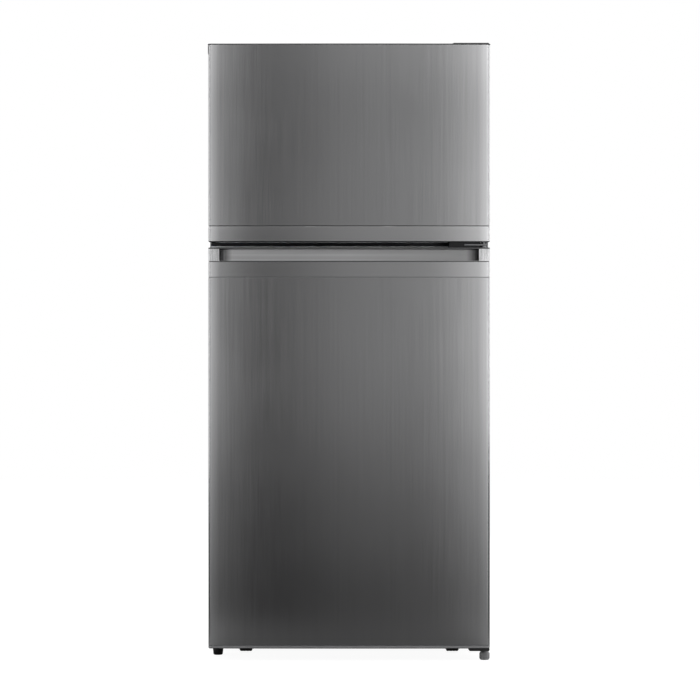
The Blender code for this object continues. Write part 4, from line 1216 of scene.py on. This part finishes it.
def air_duct():
    """The moulded duct on the back wall, with a turned blade in each outlet."""
    low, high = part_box("air_duct")
    duct = solid("air_duct_moulding", blocks((low, high, 0.006, 4)))
    blades = bmesh.new()
    for height in OUTLETS:
        cut(duct, box_tool((-0.035, low.y - 0.01, height), (0.035, high.y - 0.0035, height + 0.012)))
        slope = [(low.y + 0.001, height + 0.003), (low.y + 0.0016, height + 0.0022),
                 (low.y + 0.011, height + 0.0085), (low.y + 0.0104, height + 0.0093)]
        extruded(slope, "X", -0.0349, 0.0349, blades)
    dressed(smoothed(duct), "white_plastic", node="air_duct")
    piece("air_duct_blades", blades, "white_plastic")


# Controls and light


def control_housing():
    """The ceiling housing with soft edges, a fascia groove and marks beside the dial."""
    low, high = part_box("control_housing")
    holes = [(across, 0.084, low.z) for across in (-0.118, 0.118)]
    housing = solid("control_housing_moulding", blocks((low, high, 0.007, 4)))
    cut(housing, box_tool((0.002, -0.09, low.z - 0.02), (0.108, 0.07, 1.078)),
        box_tool((low.x - 0.01, low.y + 0.014, low.z - 0.01), (high.x + 0.01, low.y + 0.015, low.z + 0.0008)),
        *[rod_tool(hole, 0.0045, 0.005) for hole in holes])
    dressed(smoothed(housing), "white_plastic", node="control_housing")
    marks = bmesh.new()
    for angle in spaced(225, -45, 9):
        turn = math.radians(angle)
        spot = Vector((-0.065 + 0.0205 * math.cos(turn), low.y, 1.0725 + 0.016 * math.sin(turn)))
        if low.z + 0.008 < spot.z < high.z - 0.006:
            half = Vector((0.0005, 0.0002, 0.0005))
            block(marks, spot - half, spot + half, 0)
    for number in range(7):
        across, top = -0.018 + 0.012 * number, 1.071 + 0.0012 * number
        block(marks, (across, low.y - 0.0002, 1.068), (across + 0.007, low.y + 0.0002, top), 0)
    piece("control_marks", marks, "grey_plastic")
    panel_screws("control_screws", [(x, y, z + 0.0024) for x, y, z in holes], DOWN)


def dial(name, start):
    """A knurled skirt with a raised grip bar and a pointer line, which starts some degrees clockwise of
    the top.
    """
    low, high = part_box(name)
    centre = Vector(((low.x + high.x) / 2, high.y, (low.z + high.z) / 2))
    x, _, z = centre
    profile = [(0, 0), (0.0178, 0), (0.0178, 0.0042), (0.0168, 0.005), (0.0163, 0.0148), (0.0155, 0.0158),
               (0, 0.016)]
    knob = turned(profile, centre, FRONT, 120, 30, 0.0006, 0.016)
    block(knob, (x - 0.0024, low.y, z - 0.0142), (x + 0.0024, low.y + 0.008, z + 0.0142), 0.0011, 4)
    line = blocks(((x - 0.0005, low.y - 0.0001, z + 0.005), (x + 0.0005, low.y + 0.001, z + 0.0132), 0.0002,
                   1))
    for made in (knob, line):
        turn = Matrix.Rotation(math.radians(start), 3, "Y")
        bmesh.ops.rotate(made, cent=centre, matrix=turn, verts=made.verts)
    piece(name + "_knob", knob, "white_plastic", name, name)
    piece(name + "_line", line, "black_plastic", name)


def number_ring(name, node, height, radius, angles, size, body):
    """Raised numbers from 1 up, at places round a dial, read from the front."""
    low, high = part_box(node)
    for count, angle in enumerate(angles, 1):
        text = bpy.data.curves.new(f"{name}_{count}", "FONT")
        text.body = str(count)
        text.size = size
        text.extrude = 0.00012
        text.align_x = "CENTER"
        text.align_y = "CENTER"
        turn = math.radians(angle)
        mark = to_object(f"{name}_{count}", text)
        mark.location = ((low.x + high.x) / 2 + radius * math.cos(turn), height,
                         (low.z + high.z) / 2 + radius * math.sin(turn))
        mark.rotation_euler = (math.radians(90), 0, 0)
        dressed(mark, "black_plastic", body)


def lamp():
    """A ribbed lens over a board with a row of light emitting diodes."""
    low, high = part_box("lamp_lens")
    made = container(low, high, 0.0015, 0.005, 0.003, 0.001)
    for y in spaced(low.y + 0.016, high.y - 0.016, 9):
        block(made, (low.x + 0.008, y - 0.0008, low.z - 0.0004), (high.x - 0.008, y + 0.0008, low.z + 0.0006),
              0.0004, 1)
    piece("lamp_lens_moulding", made, "clear_plastic", node="lamp_lens")
    board = ((low.x + 0.02, low.y + 0.012, high.z - 0.003), (high.x - 0.02, high.y - 0.012, high.z - 0.0014),
             0.0003)
    piece("lamp_board", blocks(board), "white_plastic")
    glow = Finish("lamp_diode", (1.0, 0.96, 0.88), 0.4, Emission_Strength=2.0,
                  Emission_Color=(1.0, 0.95, 0.86))
    glow.set("Base Color", glow.mixed(glow.noise(900), (1.0, 0.93, 0.7), (1.0, 0.98, 0.92)))
    x, half = (low.x + high.x) / 2, 0.0018
    diodes = [((x - half, y - half, high.z - 0.0042), (x + half, y + half, high.z - 0.003), 0.0003)
              for y in spaced(low.y + 0.026, high.y - 0.026, 6)]
    piece("lamp_diodes", blocks(*diodes), "white_plastic", finish=glow.material)


# Hinge hardware, feet and rollers


def top_hinge_cover():
    """The low moulded cover of the top hinge, sloped to the front, with its screws in dishes."""
    name = "top_hinge_cover"
    low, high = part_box(name)
    top, base = high.z - 0.0002, low.z + 0.0002
    front, back = low.y + 0.0003, high.y - 0.0004
    side = [(front, 1.6604), (front, 1.6618), (low.y + 0.0048, 1.6635), (-0.34, 1.6674), (-0.316, 1.6705),
            (-0.303, top), (-0.214, top), (-0.205, top - 0.0012), (back, top - 0.005), (back, base),
            (-0.3105, base), (-0.3105, 1.6604)]
    cover = solid(name + "_moulding", extruded(side, "X", low.x + 0.0003, high.x - 0.0003), 30)
    places = [(0.329, along, top) for along in (-0.226, -0.292)]
    cut(cover, *[rod_tool((x, y, z + 0.003), 0.0065, 0.009) for x, y, z in places])
    dressed(round_edges(smoothed(cover, 30), 0.0007, 3), "black_plastic", node=name, finish=DARK_PLASTIC_AND_PAINTED_SHADE)
    panel_screws(name + "_screws", [(x, y, z - 0.002) for x, y, z in places], UP, "black_paint", 0.0045)


def foot(side, name, slot, profile, fluting, top, finish=None):
    """A foot turned to a profile, with a threaded stud of small ridges over it."""
    node = side + "_foot"
    low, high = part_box(node)
    place = ((low.x + high.x) / 2, (low.y + high.y) / 2, 0.0)
    profile = profile + [(0.0045, 0.022), (0.0045, 0.02), (0, 0.02)]
    piece(node + name, turned(profile, place, UP, *fluting), slot, node, node, finish=finish)
    radius, bottom, pitch = 0.0046, 0.0205, 0.0012
    thread = [(0, bottom)]
    for number in range(int((top - bottom) / pitch)):
        height = bottom + number * pitch
        thread += [(radius, height + 0.0002), (radius - 0.0005, height + 0.0008)]
    piece(node + "_stud", turned(thread + [(radius, top), (0, top)], place, UP, 24), "zinc_steel", angle=60)


def feet():
    """The knurled foot under the bottom hinge and the tapered foot at the left, and the bottom hinge's
    details.
    """
    # The knurled foot's plastic is darkened as painted shade.
    foot("right", "_knurl", "grey_plastic",
         [(0, 0), (0.0108, 0), (0.0122, 0.0012), (0.0139, 0.0042), (0.0139, 0.0175), (0.013, 0.0192),
          (0.0112, 0.0205), (0.0112, 0.022)], (144, 18, 0.0017, 0.0135), 0.029, FOOT_GREY_PAINTED_SHADE)
    foot("left", "_taper", "black_plastic",
         [(0, 0), (0.0098, 0), (0.0118, 0.0006), (0.0129, 0.0024), (0.0142, 0.014), (0.0144, 0.0205),
          (0.0134, 0.022)], (96, 16, 0.0008, 0.014), 0.031)
    screws = bmesh.new()
    for across in (0.336, 0.358):
        hex_screw(screws, (across, -0.28, 0.0301), DOWN)
    piece("bottom_hinge_screws", screws, "zinc_steel")
    flange = ((0.324, -0.3715, 0.0262), (0.377, -0.3697, 0.03), 0.0006)
    piece("bottom_hinge_flange", blocks(flange), "black_paint")


def roller(name):
    """A moulded wheel with a grooved tread, dished sides and a hub."""
    low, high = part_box(name)
    half, radius = (high.x - low.x) / 2, (high.z - low.z) / 2
    bore, hub, well = 0.0033, 0.0062, 0.0015
    outer = [(bore, half), (hub, half), (hub + 0.0006, half - well), (radius - 0.004, half - well),
             (radius - 0.0036, half), (radius - 0.002, half - 0.0008), (radius - 0.0006, half - 0.0024),
             (radius, half - 0.0042)]
    grooves = 3
    tread = []
    for number in range(grooves):
        middle = (half - 0.0045) * (1 - 2 * (number + 0.5) / grooves)
        tread += [(radius, middle + 0.0009), (radius - 0.0007, middle + 0.0005),
                  (radius - 0.0007, middle - 0.0005), (radius, middle - 0.0009)]
    profile = outer + tread + [(reach, -height) for reach, height in outer[::-1]] + [outer[0]]
    piece(name + "_wheel", turned(profile, (low + high) / 2, (1, 0, 0), 48), "black_plastic", name, name, 40)


make_camera()
make_world()
make_floor()
make_front_panel()
for values in SOFTBOXES:
    softbox(*values)
bpy.context.scene.view_settings.view_transform = "Standard"
for body in DOORS:
    door_skin(body)
seam_strip("freezer_door", 1.17)
seam_strip("fridge_door", 1.0327)
grip_trim()
handle_trim()
door_caps()
for body in DOORS:
    door_liner(body)
    door_foam(body)
    door_gasket(body)
for name in ("freezer_bin_lower", "freezer_bin_upper", "fridge_bin_bottom", "fridge_bin_middle",
             "fridge_bin_top"):
    door_bin(name, name.split("_")[0] + "_door")
cabinet_wrapper()
liners()
shelf_rails("freezer_shelf_rails", [(1.345, 0.195)])
shelf_rails("fridge_shelf_rails", [(0.8, 0.27), (0.56, 0.27), (0.335, 0.14)])
for name in ("upper_shelf_frame", "lower_shelf_frame", "crisper_cover_frame"):
    shelf_frame(name)
freezer_shelf()
crisper("left_crisper")
crisper("right_crisper")
mullion_strip()
compressor()
refrigerant_tubes()
drain_pan()
rear_details()
evaporator()
evaporator_fan()
fan_motor()
evaporator_cover_details()
air_duct()
control_housing()
dial("fridge_dial", 0)
dial("freezer_dial", 135)
number_ring("fridge_scale", "fridge_dial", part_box("fridge_dial")[0].y + 0.0049, 0.0112,
            (130, 165, 205, 335, 15, 50), 0.0058, "fridge_dial")
number_ring("freezer_scale", "freezer_dial", 0.218, 0.025, range(225, -46, -45), 0.0075, "cabinet")
lamp()
top_hinge_cover()
feet()
for end in ("front", "rear"):
    for side in ("left", "right"):
        roller(f"{end}_{side}_roller")
dress_cad_nodes()
